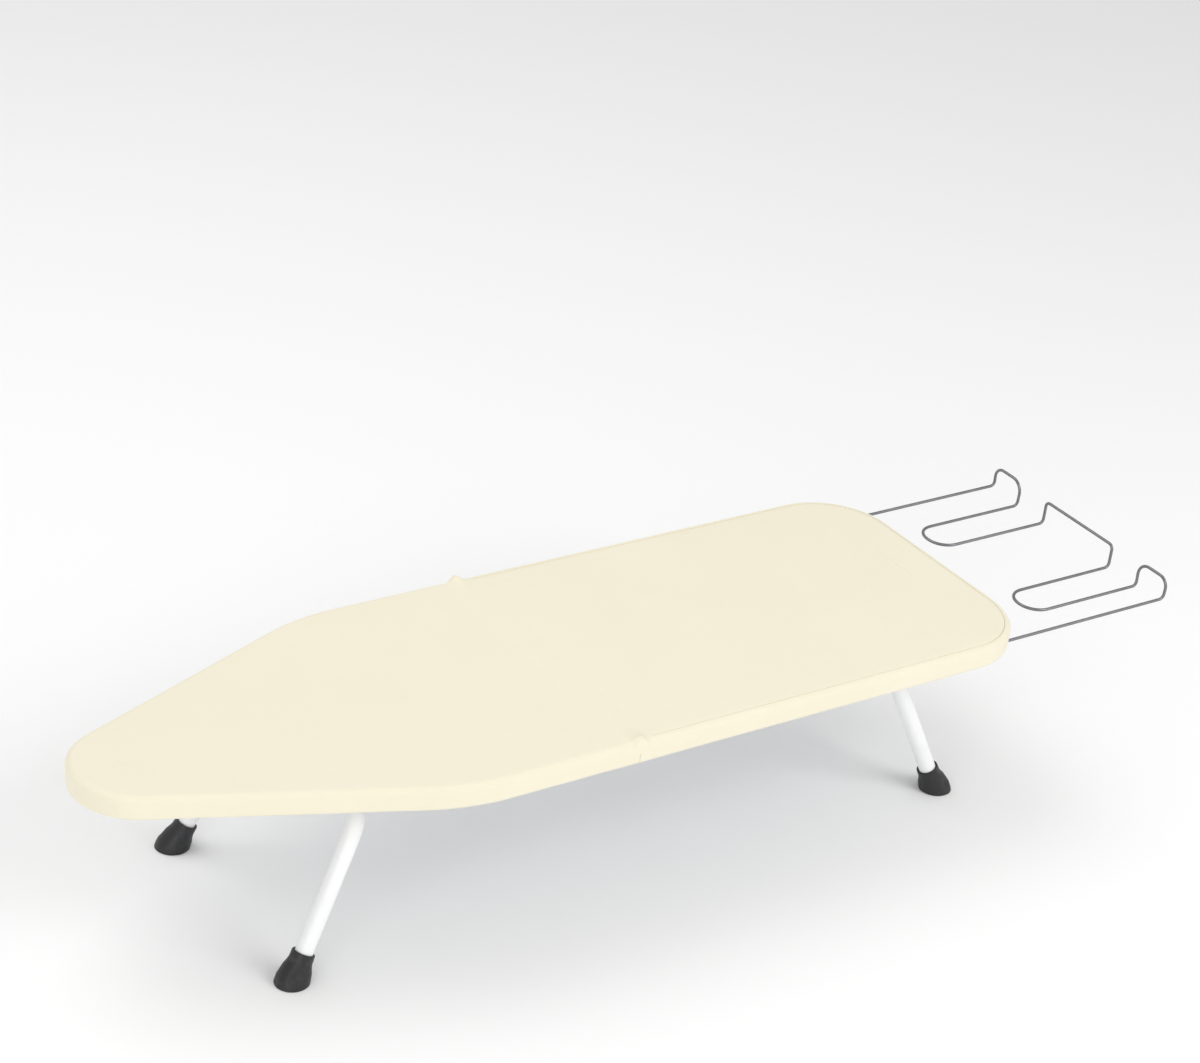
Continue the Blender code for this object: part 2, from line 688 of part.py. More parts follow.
def add_boot(name, end, along, turn):
    """Moulded boot over the tube's end, flared and cut flat by the floor."""
    socket, collar = LEG_RADIUS + GAP, LEG_RADIUS + BOOT_WALL
    profile = [(0, FOLD_GAP), (socket, FOLD_GAP), (socket, BOOT_COLLAR_TOP),
               (collar, BOOT_COLLAR_TOP), (collar + FOLD_GAP, BOOT_COLLAR_LOW),
               (collar + BOOT_FLARE, BOOT_FLARE_TOP)]
    profile += [(BOOT_RADIUS, height) for height in BOOT_WIDEST]
    profile += [(BOOT_SOLE_RADIUS, BOOT_SOLE_EDGE), (0, BOOT_END)]
    boot = lathe(name, profile, BLACK_RUBBER, end, along, sides=18)
    shape = bmesh.new()
    shape.from_mesh(boot.data)
    down = Matrix.Rotation(-turn, 3, "Y") @ Vector((0, 0, -1))
    bmesh.ops.bisect_plane(shape, geom=shape.verts[:] + shape.edges[:] + shape.faces[:], dist=1e-6,
                           plane_co=down * LEG_Z, plane_no=down, clear_outer=True)
    open_edges = [edge for edge in shape.edges if edge.is_boundary]
    bmesh.ops.contextual_create(shape, geom=open_edges)
    bmesh.ops.recalc_face_normals(shape, faces=shape.faces)
    shape.to_mesh(boot.data)
    shape.free()
    return boot


# Iron rest

def add_iron_rest(rear):
    """One bent wire: two legs that slide in the board, two humps and a raised centre stop."""
    slider = add_empty("iron_rest_slide", (0, 0, -REST_OUTER_DROP - HINGE_RISE), rear.base)
    low = REST_OUTER_DROP - REST_INNER_DROP
    hump, arch, end, loop = low + REST_HUMP_HEIGHT, low + REST_ARCH_HEIGHT, REST_REACH, REST_LOOP_X
    lean = REST_HUMP_LEAN
    side = [(REST_TAIL_X, REST_OUTER_Y, 0), (end, REST_OUTER_Y, 0), (end, REST_OUTER_Y + lean, hump),
            (end, REST_HUMP_Y - lean, hump), (end, REST_HUMP_Y, low), (loop, REST_HUMP_Y, low),
            (loop, REST_INNER_Y, low), (end, REST_INNER_Y, low), (end, REST_INNER_Y, arch)]
    corners = side + [(along, -across, height) for along, across, height in reversed(side)]
    path = bent_rest(corners)
    rest = tube("iron_rest_wire", path, WIRE_RADIUS, BARE_STEEL, 8)
    rest.parent = slider
    add_rest_guides(rear)


def bent_rest(corners):
    """Sharp bends at the ends of the straight legs, wide ones in the loops and humps."""
    tight, wide, hump = REST_TIGHT_BEND, REST_LOOP_BEND, REST_HUMP_BEND
    radii = [tight, hump, hump, tight, wide, wide, tight, tight]
    radii += radii[::-1]
    path = [Vector(corners[0])]
    spans = list(zip(corners, corners[1:], corners[2:]))
    for (before, corner, after), radius in zip(spans, radii):
        arc = rounded([before, corner, after], radius, steps=4)
        path += arc[1:-1]
    path.append(Vector(corners[-1]))
    return path


def add_rest_guides(rear):
    """Blocks under the deck that the rest's two legs slide through."""
    bore_z = -REST_OUTER_DROP - HINGE_RISE
    top, low = STRIP_TOP - HINGE_Z, bore_z - GUIDE_FLOOR
    wide, slim, lip, neck = GUIDE_HALF_TOP, GUIDE_HALF_WIDTH, top - GUIDE_LIP, top - GUIDE_NECK
    for label, side in (("left", 1), ("right", -1)):
        middle = side * REST_OUTER_Y
        outline = [(middle - wide, top), (middle - wide, lip), (middle - slim, neck),
                   (middle - slim, low), (middle + slim, low), (middle + slim, neck),
                   (middle + wide, lip), (middle + wide, top)]
        guide = prism(f"rest_guide_{label}", outline, 0, GUIDE_X, GUIDE_X + GUIDE_LENGTH, WHITE_PAINT)
        rear.hang(guide)
        bore = cylinder(f"cut_guide_{label}", (GUIDE_X + GUIDE_LENGTH / 2, middle, bore_z),
                        WIRE_RADIUS + BORE_PLAY, 2 * GUIDE_LENGTH, 0, sides=12)
        cut(guide, [bore])


# Storage latch

def add_latch(rear):
    """Wire bail with a plastic clip. It is drawn as latched, then hung from its pivot."""
    place = (LATCH_PIVOT_X, BAR_Y, -LATCH_PIVOT_DROP - HINGE_RISE)
    swing = add_empty("latch_swing", place, rear.base)
    swing.rotation_euler = (0, LATCH_HANG, 0)
    clip_x = LATCH_REACH - LATCH_ARM
    side = [(clip_x + GAP, LATCH_HALF_SPAN, LATCH_HEIGHT), (LATCH_REACH, LATCH_HALF_SPAN, LATCH_HEIGHT),
            (LATCH_REACH, LATCH_HALF_SPAN, 0), (0, LATCH_HALF_SPAN, 0)]
    corners = side + [(along, -across, height) for along, across, height in reversed(side)]
    path = rounded(corners, LATCH_BEND_RADIUS, steps=3)
    bail = tube("latch_bail_wire", path, LATCH_WIRE_RADIUS, BARE_STEEL, 8)
    bail.parent = swing
    add_latch_clip(swing, clip_x)
    add_latch_bracket(rear)


def add_latch_clip(swing, clip_x):
    """Moulded block with a groove that snaps over a nose bar, and a finger tongue."""
    half, chamfer = CLIP_SIZE / 2, CLIP_CHAMFER
    groove_top = 2 * HINGE_Z - BAR_BOTTOM - (TOP_HEIGHT - LATCH_PIVOT_DROP) + CLIP_PLAY
    top, low = groove_top + CLIP_BACK, groove_top - CLIP_GRIP
    slot = BAR_WIDTH / 2 + 2 * GAP
    outline = [(chamfer / 2 - half, top), (half - chamfer / 2, top), (half, top - chamfer), (half, low),
               (slot, low), (slot, groove_top), (-slot, groove_top), (-slot, low), (-half, low),
               (-half, top - chamfer)]
    back = clip_x - CLIP_SIZE
    block = prism("latch_clip", outline, 0, back, clip_x, BLACK_PLASTIC)
    root, tip, tongue_low = back + TONGUE_ROOT, back - TONGUE_LENGTH, groove_top + TONGUE_LIFT
    side = [(tip, tongue_low + TONGUE_LIFT), (root, tongue_low), (root, top - chamfer / 2),
            (back - TONGUE_LENGTH / 2, top - chamfer / 4), (tip, top + chamfer / 2)]
    tongue = prism("latch_clip_tongue", side, 1, -TONGUE_HALF_WIDTH, TONGUE_HALF_WIDTH, BLACK_PLASTIC)
    for piece in (block, tongue):
        piece.parent = swing
    tongue.hide_render = True
    tongue.display_type = "WIRE"
    joined = block.modifiers.new("tongue", "BOOLEAN")
    joined.operation = "UNION"
    joined.object = tongue


def add_latch_bracket(rear):
    """Block under the left rear bar with a cross bore for the bail."""
    pivot_z = -LATCH_PIVOT_DROP - HINGE_RISE
    top, low = BAR_BOTTOM - HINGE_Z - GAP, pivot_z - BLOCK_FLOOR
    near, far = LATCH_PIVOT_X - BLOCK_HALF_LENGTH, LATCH_PIVOT_X + BLOCK_HALF_LENGTH
    toe, chamfer, wide = near - BLOCK_FOOT, BLOCK_CHAMFER, BLOCK_HALF_WIDTH
    outline = [(toe, top), (toe, top - BLOCK_FOOT / 2), (near, top - BLOCK_FOOT), (near, low + chamfer),
               (near + chamfer, low), (far - chamfer, low), (far, low + chamfer), (far, top)]
    block = prism("latch_bracket", outline, 1, BAR_Y - wide, BAR_Y + wide, WHITE_PAINT)
    rear.hang(block)
    bore = cylinder("cut_latch_bracket", (LATCH_PIVOT_X, BAR_Y, pivot_z), LATCH_WIRE_RADIUS + BORE_PLAY,
                    4 * wide, 1, sides=12)
    return cut(block, [bore])


def add_half(half, end_name):
    add_frame(half)
    add_bars(half)
    add_crossbar(half)
    add_pad(half)
    add_cover(half)
    add_leg_bracket(half, end_name)
    add_leg(half, end_name)


def main():
    for old in list(bpy.data.objects):
        bpy.data.objects.remove(old, do_unlink=True)
    rear = Half("rear", 1, rear_outline, REAR_PIVOT_X)
    nose = Half("nose", -1, nose_outline, FRONT_PIVOT_X)
    add_half(rear, "rear")
    add_half(nose, "front")
    add_hinge(rear, nose)
    add_lock_sleeves(nose)
    add_iron_rest(rear)
    add_latch(rear)


main()
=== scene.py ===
"""Looks of a folding table-top ironing board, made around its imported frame.

The board is two hinged halves under a cream cotton cover, on two folding tube legs, with a
pull-out wire iron rest and a wire latch underneath. Everything is in metres, +Z up.
"""
import json
import logging
from dataclasses import dataclass
from enum import Enum
from math import cos, hypot, pi, radians, sin, sqrt, tan
from typing import Any, Optional, Sequence

import bpy
from mathutils import Matrix, Vector


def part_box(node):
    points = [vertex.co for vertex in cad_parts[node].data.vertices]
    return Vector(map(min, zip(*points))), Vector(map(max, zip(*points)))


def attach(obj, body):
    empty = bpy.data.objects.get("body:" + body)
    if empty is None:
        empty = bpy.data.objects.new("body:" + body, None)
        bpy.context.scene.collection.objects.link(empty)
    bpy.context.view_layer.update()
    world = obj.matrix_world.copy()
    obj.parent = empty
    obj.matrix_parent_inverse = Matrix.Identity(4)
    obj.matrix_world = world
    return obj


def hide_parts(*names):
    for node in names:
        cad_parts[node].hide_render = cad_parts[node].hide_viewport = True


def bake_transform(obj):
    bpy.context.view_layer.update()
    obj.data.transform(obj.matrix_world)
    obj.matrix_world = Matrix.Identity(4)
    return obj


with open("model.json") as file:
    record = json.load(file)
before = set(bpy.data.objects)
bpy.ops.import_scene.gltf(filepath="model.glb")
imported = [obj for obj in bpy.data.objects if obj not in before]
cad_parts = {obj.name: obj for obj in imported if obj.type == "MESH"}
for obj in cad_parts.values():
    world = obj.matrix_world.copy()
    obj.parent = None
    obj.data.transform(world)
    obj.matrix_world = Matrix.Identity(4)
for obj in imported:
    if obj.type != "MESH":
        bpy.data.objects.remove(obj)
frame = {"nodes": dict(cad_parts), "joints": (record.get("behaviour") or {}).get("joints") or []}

log = logging.getLogger("ironing_board")
Point = tuple[float, float, float]
Colour = tuple[float, float, float]
Pair = tuple[float, float]

MERGE = 1e-6          # points closer than this are one point
NODE_MERGE = 1e-5     # the same, on a copy of a CAD node
FLAT_DEGREES = 1.0    # CAD faces this close to one plane are joined
LONGEST_BEND = 0.499  # largest share of a straight run that one bend may take


class Body(str, Enum):
    """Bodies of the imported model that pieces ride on."""

    REAR = "rear_board"
    NOSE = "nose_board"
    FRONT_LEGS = "front_legs"
    REAR_LEGS = "rear_legs"
    REST = "iron_rest"
    LATCH = "latch"
    LEFT_SLEEVE = "lock_sleeve_left"
    RIGHT_SLEEVE = "lock_sleeve_right"


class Side(Enum):
    """Which side of the board's middle line a piece is on."""

    LEFT = 1
    RIGHT = -1

    @property
    def label(self) -> str:
        """Lower-case name used in piece names."""
        return self.name.lower()


# ---------------------------------------------------------------------------
# Shader graphs
# ---------------------------------------------------------------------------


class Sock:
    """A shader socket whose arithmetic adds Math nodes."""

    def __init__(self, graph: "Graph", socket: Any) -> None:
        """Wrap an output of a graph."""
        self.graph = graph
        self.socket = socket

    def _math(self, operation: str, first: Any, second: Any = None) -> "Sock":
        """One Math node on two values or links."""
        values = {0: first} if second is None else {0: first, 1: second}
        return self.graph.node("ShaderNodeMath", {"operation": operation}, values)

    def __add__(self, other: Any) -> "Sock":
        """Sum of the value and another."""
        return self._math("ADD", self, other)

    def __radd__(self, other: Any) -> "Sock":
        """Sum of another and the value."""
        return self._math("ADD", other, self)

    def __sub__(self, other: Any) -> "Sock":
        """The value less another."""
        return self._math("SUBTRACT", self, other)

    def __rsub__(self, other: Any) -> "Sock":
        """Another less the value."""
        return self._math("SUBTRACT", other, self)

    def __mul__(self, other: Any) -> "Sock":
        """The value times another."""
        return self._math("MULTIPLY", self, other)

    def __rmul__(self, other: Any) -> "Sock":
        """Another times the value."""
        return self._math("MULTIPLY", other, self)

    def sine(self) -> "Sock":
        """Sine of the value."""
        return self._math("SINE", self)

    def clamped(self) -> "Sock":
        """Value held between 0 and 1."""
        return self.graph.node("ShaderNodeClamp", {}, {"Value": self})


class Graph:
    """The node tree of one material."""

    def __init__(self, name: str) -> None:
        """Start a material.

        Args:
            name: Name of the material.
        """
        self.material = bpy.data.materials.new(name)
        self.material.use_nodes = True
        self.tree = self.material.node_tree
        self.shader = self.tree.nodes["Principled BSDF"]

    def node(self, kind: str, settings: dict[str, Any], values: dict[Any, Any],
             output: Any = 0) -> Sock:
        """Add a node.

        Args:
            kind: The node's type.
            settings: Properties of the node, or "stops" for a ramp.
            values: Socket name or number to a value or a linked Sock.
            output: Name or number of the socket to return.

        Returns:
            The chosen output.
        """
        made = self.tree.nodes.new(kind)
        for key, value in settings.items():
            if key == "stops":
                self._set_stops(made.color_ramp, value)
            else:
                setattr(made, key, value)
        for key, value in values.items():
            if isinstance(value, Sock):
                self.tree.links.new(value.socket, made.inputs[key])
            else:
                made.inputs[key].default_value = value
        return Sock(self, made.outputs[output])

    @staticmethod
    def _set_stops(ramp: Any, stops: Sequence[tuple[float, Any]]) -> None:
        """Give a colour ramp exactly these stops.

        Args:
            ramp: The new ramp, which has two stops.
            stops: Place and colour of each stop.
        """
        while len(ramp.elements) < len(stops):
            ramp.elements.new(0.5)
        for element, (place, colour) in zip(ramp.elements, stops):
            element.position = place
            element.color = (*colour, 1.0) if len(colour) == 3 else colour

    def place(self) -> Sock:
        """Object coordinates in metres."""
        return self.node("ShaderNodeTexCoord", {}, {}, "Object")

    def axes(self, vector: Sock) -> list[Sock]:
        """Split a vector.

        Args:
            vector: The vector.

        Returns:
            Its three numbers.
        """
        split = self.node("ShaderNodeSeparateXYZ", {}, {0: vector})
        node = split.socket.node
        return [Sock(self, node.outputs[index]) for index in range(3)]

    def noise(self, vector: Sock, scale: float, detail: float = 3.0,
              roughness: float = 0.5) -> Sock:
        """Noise between 0 and 1."""
        return self.node("ShaderNodeTexNoise", {}, {
            "Vector": vector, "Scale": scale, "Detail": detail, "Roughness": roughness})

    def drawn_out(self, place: Sock, scales: Point, detail: float,
                  roughness: float = 0.5) -> Sock:
        """Noise drawn out along the axes that have the smaller scales."""
        mapped = self.node("ShaderNodeMapping", {}, {"Vector": place, "Scale": scales})
        return self.noise(mapped, 1.0, detail, roughness)

    def patches(self, cover: Sock, low: float, high: float) -> Sock:
        """Spots that fade in as a noise rises from one value to another."""
        stops = [(low, (0.0, 0.0, 0.0)), (high, (1.0, 1.0, 1.0))]
        return self.node("ShaderNodeValToRGB", {"stops": stops}, {0: cover})

    def mix(self, share: Any, first: Any, second: Any) -> Sock:
        """Mix two colours.

        Args:
            share: How much of the second colour, as a value or a linked Sock.
            first: Colour or linked Sock where the share is 0.
            second: Colour or linked Sock where the share is 1.

        Returns:
            The mixed colour.
        """
        made = self.tree.nodes.new("ShaderNodeMix")
        made.data_type = "RGBA"
        inputs = {"Factor": made.inputs[0], "A": made.inputs[6], "B": made.inputs[7]}
        for key, value in (("Factor", share), ("A", first), ("B", second)):
            if isinstance(value, Sock):
                self.tree.links.new(value.socket, inputs[key])
            else:
                inputs[key].default_value = (*value, 1.0) if isinstance(value, tuple) else value
        return Sock(self, made.outputs[2])

    def bump(self, height: Sock, strength: float, distance: float) -> Sock:
        """Normal bumped by a height."""
        return self.node("ShaderNodeBump", {}, {
            "Height": height, "Strength": strength, "Distance": distance}, "Normal")

    def dress(self, uniform: dict[str, Any], linked: dict[str, Sock]) -> bpy.types.Material:
        """Set the shader's plain values and link its varying ones.

        Args:
            uniform: Socket name to a value that is the same all over.
            linked: Socket name to what varies over the surface.

        Returns:
            The material.
        """
        for key, value in uniform.items():
            self.shader.inputs[key].default_value = value
        for key, value in linked.items():
            self.tree.links.new(value.socket, self.shader.inputs[key])
        return self.material


# ---------------------------------------------------------------------------
# Finishes
# ---------------------------------------------------------------------------


@dataclass(frozen=True)
class Cotton:
    """Plain woven cotton of the cover, with a fine square weave and soft sheen."""

    name: str = "cream_cotton_weave"
    tint: Colour = (0.890, 0.845, 0.690)
    shade: Colour = (0.830, 0.775, 0.600)
    thread: float = 0.0011
    thread_slack: float = 1.2
    slub_scales: Point = (30.0, 900.0, 900.0)
    sheen: float = 0.25

    def make(self) -> bpy.types.Material:
        """Build the material.

        Returns:
            The finish, with its pattern on object coordinates.
        """
        graph = Graph(self.name)
        place = graph.place()
        along, across, height = graph.axes(place)
        pitch = 2 * pi / self.thread
        slack = graph.noise(place, 60.0, 2.0) * self.thread_slack
        warp = (along * pitch + slack).sine()
        weft = ((across + height) * pitch + slack).sine()
        weave = warp * weft * 0.5 + 0.5
        slub = graph.drawn_out(place, self.slub_scales, 2.0)
        cloud = graph.noise(place, 9.0, 4.0)
        worn = (weave * 0.30 + slub * 0.30 + cloud * 0.55 - 0.15).clamped()
        colour = graph.mix(worn, self.shade, self.tint)
        creases = graph.noise(place, 22.0, 3.0, 0.45)
        relief = weave * 0.35 + slub * 0.25 + creases * 0.9
        return graph.dress(
            {"Sheen Weight": self.sheen, "Sheen Roughness": 0.5, "Specular IOR Level": 0.25},
            {"Base Color": colour, "Roughness": cloud * 0.12 + 0.82,
             "Normal": graph.bump(relief, 0.35, 0.0010)})


@dataclass(frozen=True)
class Felt:
    """Needled grey felt with loose fibres and darker and paler flecks."""

    name: str = "grey_felt_pad"
    tint: Colour = (0.62, 0.665, 0.75)
    shade: Colour = (0.42, 0.465, 0.56)
    fibre_scales: Point = (300.0, 1100.0, 700.0)

    def make(self) -> bpy.types.Material:
        """Build the material.

        Returns:
            The finish, with its pattern on object coordinates.
        """
        graph = Graph(self.name)
        place = graph.place()
        fibres = graph.drawn_out(place, self.fibre_scales, 4.0, 0.65)
        flecks = graph.noise(place, 240.0, 3.0, 0.7)
        cloud = graph.noise(place, 14.0, 3.0)
        share = (fibres * 0.5 + flecks * 0.5 + cloud * 0.4 - 0.2).clamped()
        return graph.dress(
            {"Sheen Weight": 0.3, "Specular IOR Level": 0.2},
            {"Base Color": graph.mix(share, self.shade, self.tint),
             "Roughness": flecks * 0.1 + 0.88,
             "Normal": graph.bump(fibres + flecks * 0.6, 0.6, 0.0008)})


@dataclass(frozen=True)
class PowderCoat:
    """White powder coat over steel: slight orange peel, dust and rubbed spots."""

    name: str = "white_powder_coat"
    tint: Colour = (0.885, 0.890, 0.895)
    shade: Colour = (0.760, 0.765, 0.770)
    roughness: float = 0.30

    def make(self) -> bpy.types.Material:
        """Build the material.

        Returns:
            The finish, with its pattern on object coordinates.
        """
        graph = Graph(self.name)
        place = graph.place()
        peel = graph.noise(place, 420.0, 2.0)
        dust = graph.noise(place, 35.0, 5.0, 0.6)
        rubbed = graph.patches(dust, 0.60, 0.78)
        colour = graph.mix(rubbed * 0.35, self.tint, self.shade)
        return graph.dress(
            {"Coat Roughness": 0.2, "Specular IOR Level": 0.5},
            {"Base Color": colour, "Roughness": dust * 0.14 + self.roughness,
             "Normal": graph.bump(peel, 0.18, 0.0003)})


@dataclass(frozen=True)
class DrawnSteel:
    """Bright drawn wire or plated rivet with fine streaks and a dull film."""

    name: str
    tint: Colour
    shade: Colour
    roughness: float
    streaks: Point = (60.0, 900.0, 900.0)

    def make(self) -> bpy.types.Material:
        """Build the material.

        Returns:
            The finish, with its pattern on object coordinates.
        """
        graph = Graph(self.name)
        place = graph.place()
        streak = graph.drawn_out(place, self.streaks, 3.0)
        film = graph.noise(place, 120.0, 4.0, 0.6)
        return graph.dress(
            {"Specular IOR Level": 0.5},
            {"Base Color": graph.mix((streak * 0.5 + film * 0.5), self.shade, self.tint),
             "Metallic": film * 0.1 + 0.88,
             "Roughness": streak * 0.16 + self.roughness,
             "Normal": graph.bump(streak, 0.15, 0.0002)})


@dataclass(frozen=True)
class Moulded:
    """Black moulded rubber or plastic with a fine grain and grey scuffs."""

    name: str
    tint: Colour
    scuff: Colour
    roughness: float
    grain: float

    def make(self) -> bpy.types.Material:
        """Build the material.

        Returns:
            The finish, with its pattern on object coordinates.
        """
        graph = Graph(self.name)
        place = graph.place()
        grain = graph.noise(place, self.grain, 2.0)
        dust = graph.noise(place, 90.0, 5.0, 0.65)
        marks = graph.patches(dust, 0.55, 0.80)
        return graph.dress(
            {"Specular IOR Level": 0.45},
            {"Base Color": graph.mix(marks * 0.5, self.tint, self.scuff),
             "Roughness": dust * 0.2 + self.roughness,
             "Normal": graph.bump(grain, 0.25, 0.0003)})


@dataclass(frozen=True)
class Backdrop:
    """Pale studio paper that the board stands on."""

    name: str = "studio_paper"

    def make(self) -> bpy.types.Material:
        """Build the material.

        Returns:
            The finish, with its pattern on object coordinates.
        """
        graph = Graph(self.name)
        fibre = graph.noise(graph.place(), 3.0, 2.0)
        colour = graph.mix(fibre * 0.3, (0.95, 0.95, 0.95), (0.935, 0.935, 0.935))
        return graph.dress({"Roughness": 0.9, "Specular IOR Level": 0.1}, {"Base Color": colour})


class Finishes:
    """Every finish on the board, made once."""

    def __init__(self) -> None:
        """Make the materials."""
        self.cotton = Cotton().make()
        self.felt = Felt().make()
        self.paint = PowderCoat().make()
        self.mesh_paint = PowderCoat(name="white_mesh_coat", tint=(0.90, 0.905, 0.91)).make()
        self.wire = DrawnSteel("drawn_steel_wire", (0.30, 0.30, 0.31), (0.16, 0.16, 0.17),
                               0.26).make()
        self.rivet = DrawnSteel("zinc_rivet", (0.55, 0.56, 0.58), (0.34, 0.35, 0.37), 0.30,
                                (700.0, 700.0, 200.0)).make()
        self.rubber = Moulded("black_boot_rubber", (0.018, 0.018, 0.020), (0.10, 0.10, 0.105),
                              0.38, 800.0).make()
        self.plastic = Moulded("black_clip_plastic", (0.012, 0.012, 0.013), (0.06, 0.06, 0.065),
                               0.34, 1500.0).make()


# ---------------------------------------------------------------------------
# Bench: modelling steps done with Blender's operators
# ---------------------------------------------------------------------------


def clear_selection() -> None:
    """Deselect every object, in object mode."""
    if bpy.context.object and bpy.context.object.mode != "OBJECT":
        bpy.ops.object.mode_set(mode="OBJECT")
    bpy.ops.object.select_all(action="DESELECT")


def take(piece: bpy.types.Object) -> bpy.types.Object:
    """Make a piece the only selected one.

    Args:
        piece: The piece.

    Returns:
        The same piece.
    """
    clear_selection()
    piece.select_set(True)
    bpy.context.view_layer.objects.active = piece
    return piece


def edit(piece: bpy.types.Object) -> None:
    """Open a piece for editing with everything in it selected.

    Args:
        piece: The piece.
    """
    take(piece)
    bpy.ops.object.mode_set(mode="EDIT")
    bpy.ops.mesh.select_all(action="SELECT")


def settle(piece: bpy.types.Object) -> bpy.types.Object:
    """Put a piece's place into its mesh, with its object at the origin.

    Args:
        piece: The piece.

    Returns:
        The same piece.
    """
    take(piece)
    bpy.ops.object.transform_apply(location=True, rotation=True, scale=True)
    return piece


def close_up(piece: bpy.types.Object, smooth: float = 35.0, fill: bool = True) -> bpy.types.Object:
    """Merge doubles, fill open ends, turn the faces outwards and smooth the round ones.

    Args:
        piece: The piece to close up.
        smooth: Edges flatter than this many degrees are shaded smooth.
        fill: Whether open ends get a face.

    Returns:
        The same piece.
    """
    edit(piece)
    bpy.ops.mesh.remove_doubles(threshold=MERGE)
    if fill:
        bpy.ops.mesh.fill_holes(sides=0)
    bpy.ops.mesh.normals_make_consistent(inside=False)
    bpy.ops.object.mode_set(mode="OBJECT")
    bpy.ops.object.shade_smooth_by_angle(angle=radians(smooth))
    return piece


def apply_modifier(piece: bpy.types.Object, kind: str, **settings: Any) -> bpy.types.Object:
    """Add a modifier and apply it.

    Args:
        piece: The piece to work on.
        kind: The modifier's type.
        settings: Its properties.

    Returns:
        The same piece.
    """
    take(piece)
    step = piece.modifiers.new(kind.lower(), kind)
    for key, value in settings.items():
        setattr(step, key, value)
    bpy.ops.object.modifier_apply(modifier=step.name)
    return piece


def bevel(piece: bpy.types.Object, width: float, segments: int = 2,
          angle: float = 35.0) -> bpy.types.Object:
    """Round the edges that are sharper than an angle in degrees."""
    return apply_modifier(piece, "BEVEL", width=width, segments=segments, limit_method="ANGLE",
                          angle_limit=radians(angle), harden_normals=False)


def dress(piece: bpy.types.Object, finish: bpy.types.Material) -> bpy.types.Object:
    """Give a piece one finish.

    Args:
        piece: The piece.
        finish: Its material.

    Returns:
        The same piece.
    """
    piece.data.materials.clear()
    piece.data.materials.append(finish)
    return piece


def fit(piece: bpy.types.Object, body: Body, finish: bpy.types.Material, slot: str,
        *nodes: str) -> bpy.types.Object:
    """Dress a finished piece, set it on its body and hide what it stands for.

    Args:
        piece: The finished piece.
        body: The body that it rides on.
        finish: Its material.
        slot: The record's material slot; not used.
        nodes: The CAD nodes that it stands for.

    Returns:
        The same piece.
    """
    dress(piece, finish)
    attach(piece, body.value)
    if nodes:
        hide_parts(*nodes)
    log.info("%s rides on %s, %d faces", piece.name, body.value, len(piece.data.polygons))
    return piece


def raw_mesh(name: str, points: Sequence[Sequence[float]],
             faces: Sequence[Sequence[int]]) -> bpy.types.Object:
    """A mesh object from points and faces.

    Args:
        name: Name of the piece.
        points: Its points.
        faces: The numbers of each face's points.

    Returns:
        The piece, linked to the scene.
    """
    mesh = bpy.data.meshes.new(name)
    mesh.from_pydata([tuple(point) for point in points], [], [list(face) for face in faces])
    piece = bpy.data.objects.new(name, mesh)
    bpy.context.scene.collection.objects.link(piece)
    return piece


def refined_node(node: str, name: str, width: float, segments: int = 2, smooth: float = 35.0,
                 sharp_at: Optional[float] = None) -> bpy.types.Object:
    """A copy of a CAD node with its edges rounded.

    Args:
        node: The CAD node to copy.
        name: Name of the new piece.
        width: Bevel width in metres.
        segments: Bevel segments.
        smooth: Edges flatter than this many degrees are shaded smooth.
        sharp_at: Level near which corners stay sharp, as two edges lie too close there.

    Returns:
        The refined copy.
    """
    source = frame["nodes"][node]
    piece = bpy.data.objects.new(name, source.data.copy())
    piece.data.materials.clear()
    for key in list(piece.keys()):
        del piece[key]
    bpy.context.scene.collection.objects.link(piece)
    edit(piece)
    bpy.ops.mesh.customdata_custom_splitnormals_clear()
    bpy.ops.mesh.remove_doubles(threshold=NODE_MERGE)
    bpy.ops.mesh.dissolve_limited(angle_limit=radians(FLAT_DEGREES))
    bpy.ops.mesh.normals_make_consistent(inside=False)
    bpy.ops.object.mode_set(mode="OBJECT")
    if sharp_at is None:
        bevel(piece, width, segments)
    else:
        rounded = piece.vertex_groups.new(name="rounded")
        rounded.add([vertex.index for vertex in piece.data.vertices
                     if abs(vertex.co.z - sharp_at) > width / 2], 1.0, "REPLACE")
        apply_modifier(piece, "BEVEL", width=width, segments=segments, limit_method="VGROUP",
                       vertex_group=rounded.name)
        piece.vertex_groups.clear()
    apply_modifier(piece, "TRIANGULATE", min_vertices=5, keep_custom_normals=False)
    return close_up(piece, smooth, fill=False)


def ring_at(name: str, centre: Vector, along: Vector, radius: float,
            sides: int) -> bpy.types.Object:
    """Start a tube with a circle, open in edit mode.

    Args:
        name: Name of the piece.
        centre: Middle of the circle.
        along: The direction that it faces.
        radius: Radius of the circle.
        sides: Points round it.

    Returns:
        The new piece.
    """
    clear_selection()
    turn = along.to_track_quat("Z", "Y").to_euler()
    bpy.ops.mesh.primitive_circle_add(vertices=sides, radius=radius, location=centre, rotation=turn)
    piece = bpy.context.object
    piece.name = name
    piece.data.name = name
    settle(piece)
    edit(piece)
    return piece


def pull(reach: Vector) -> None:
    """Extrude the open end of a tube."""
    bpy.ops.mesh.extrude_region_move(TRANSFORM_OT_translate={"value": tuple(reach)})


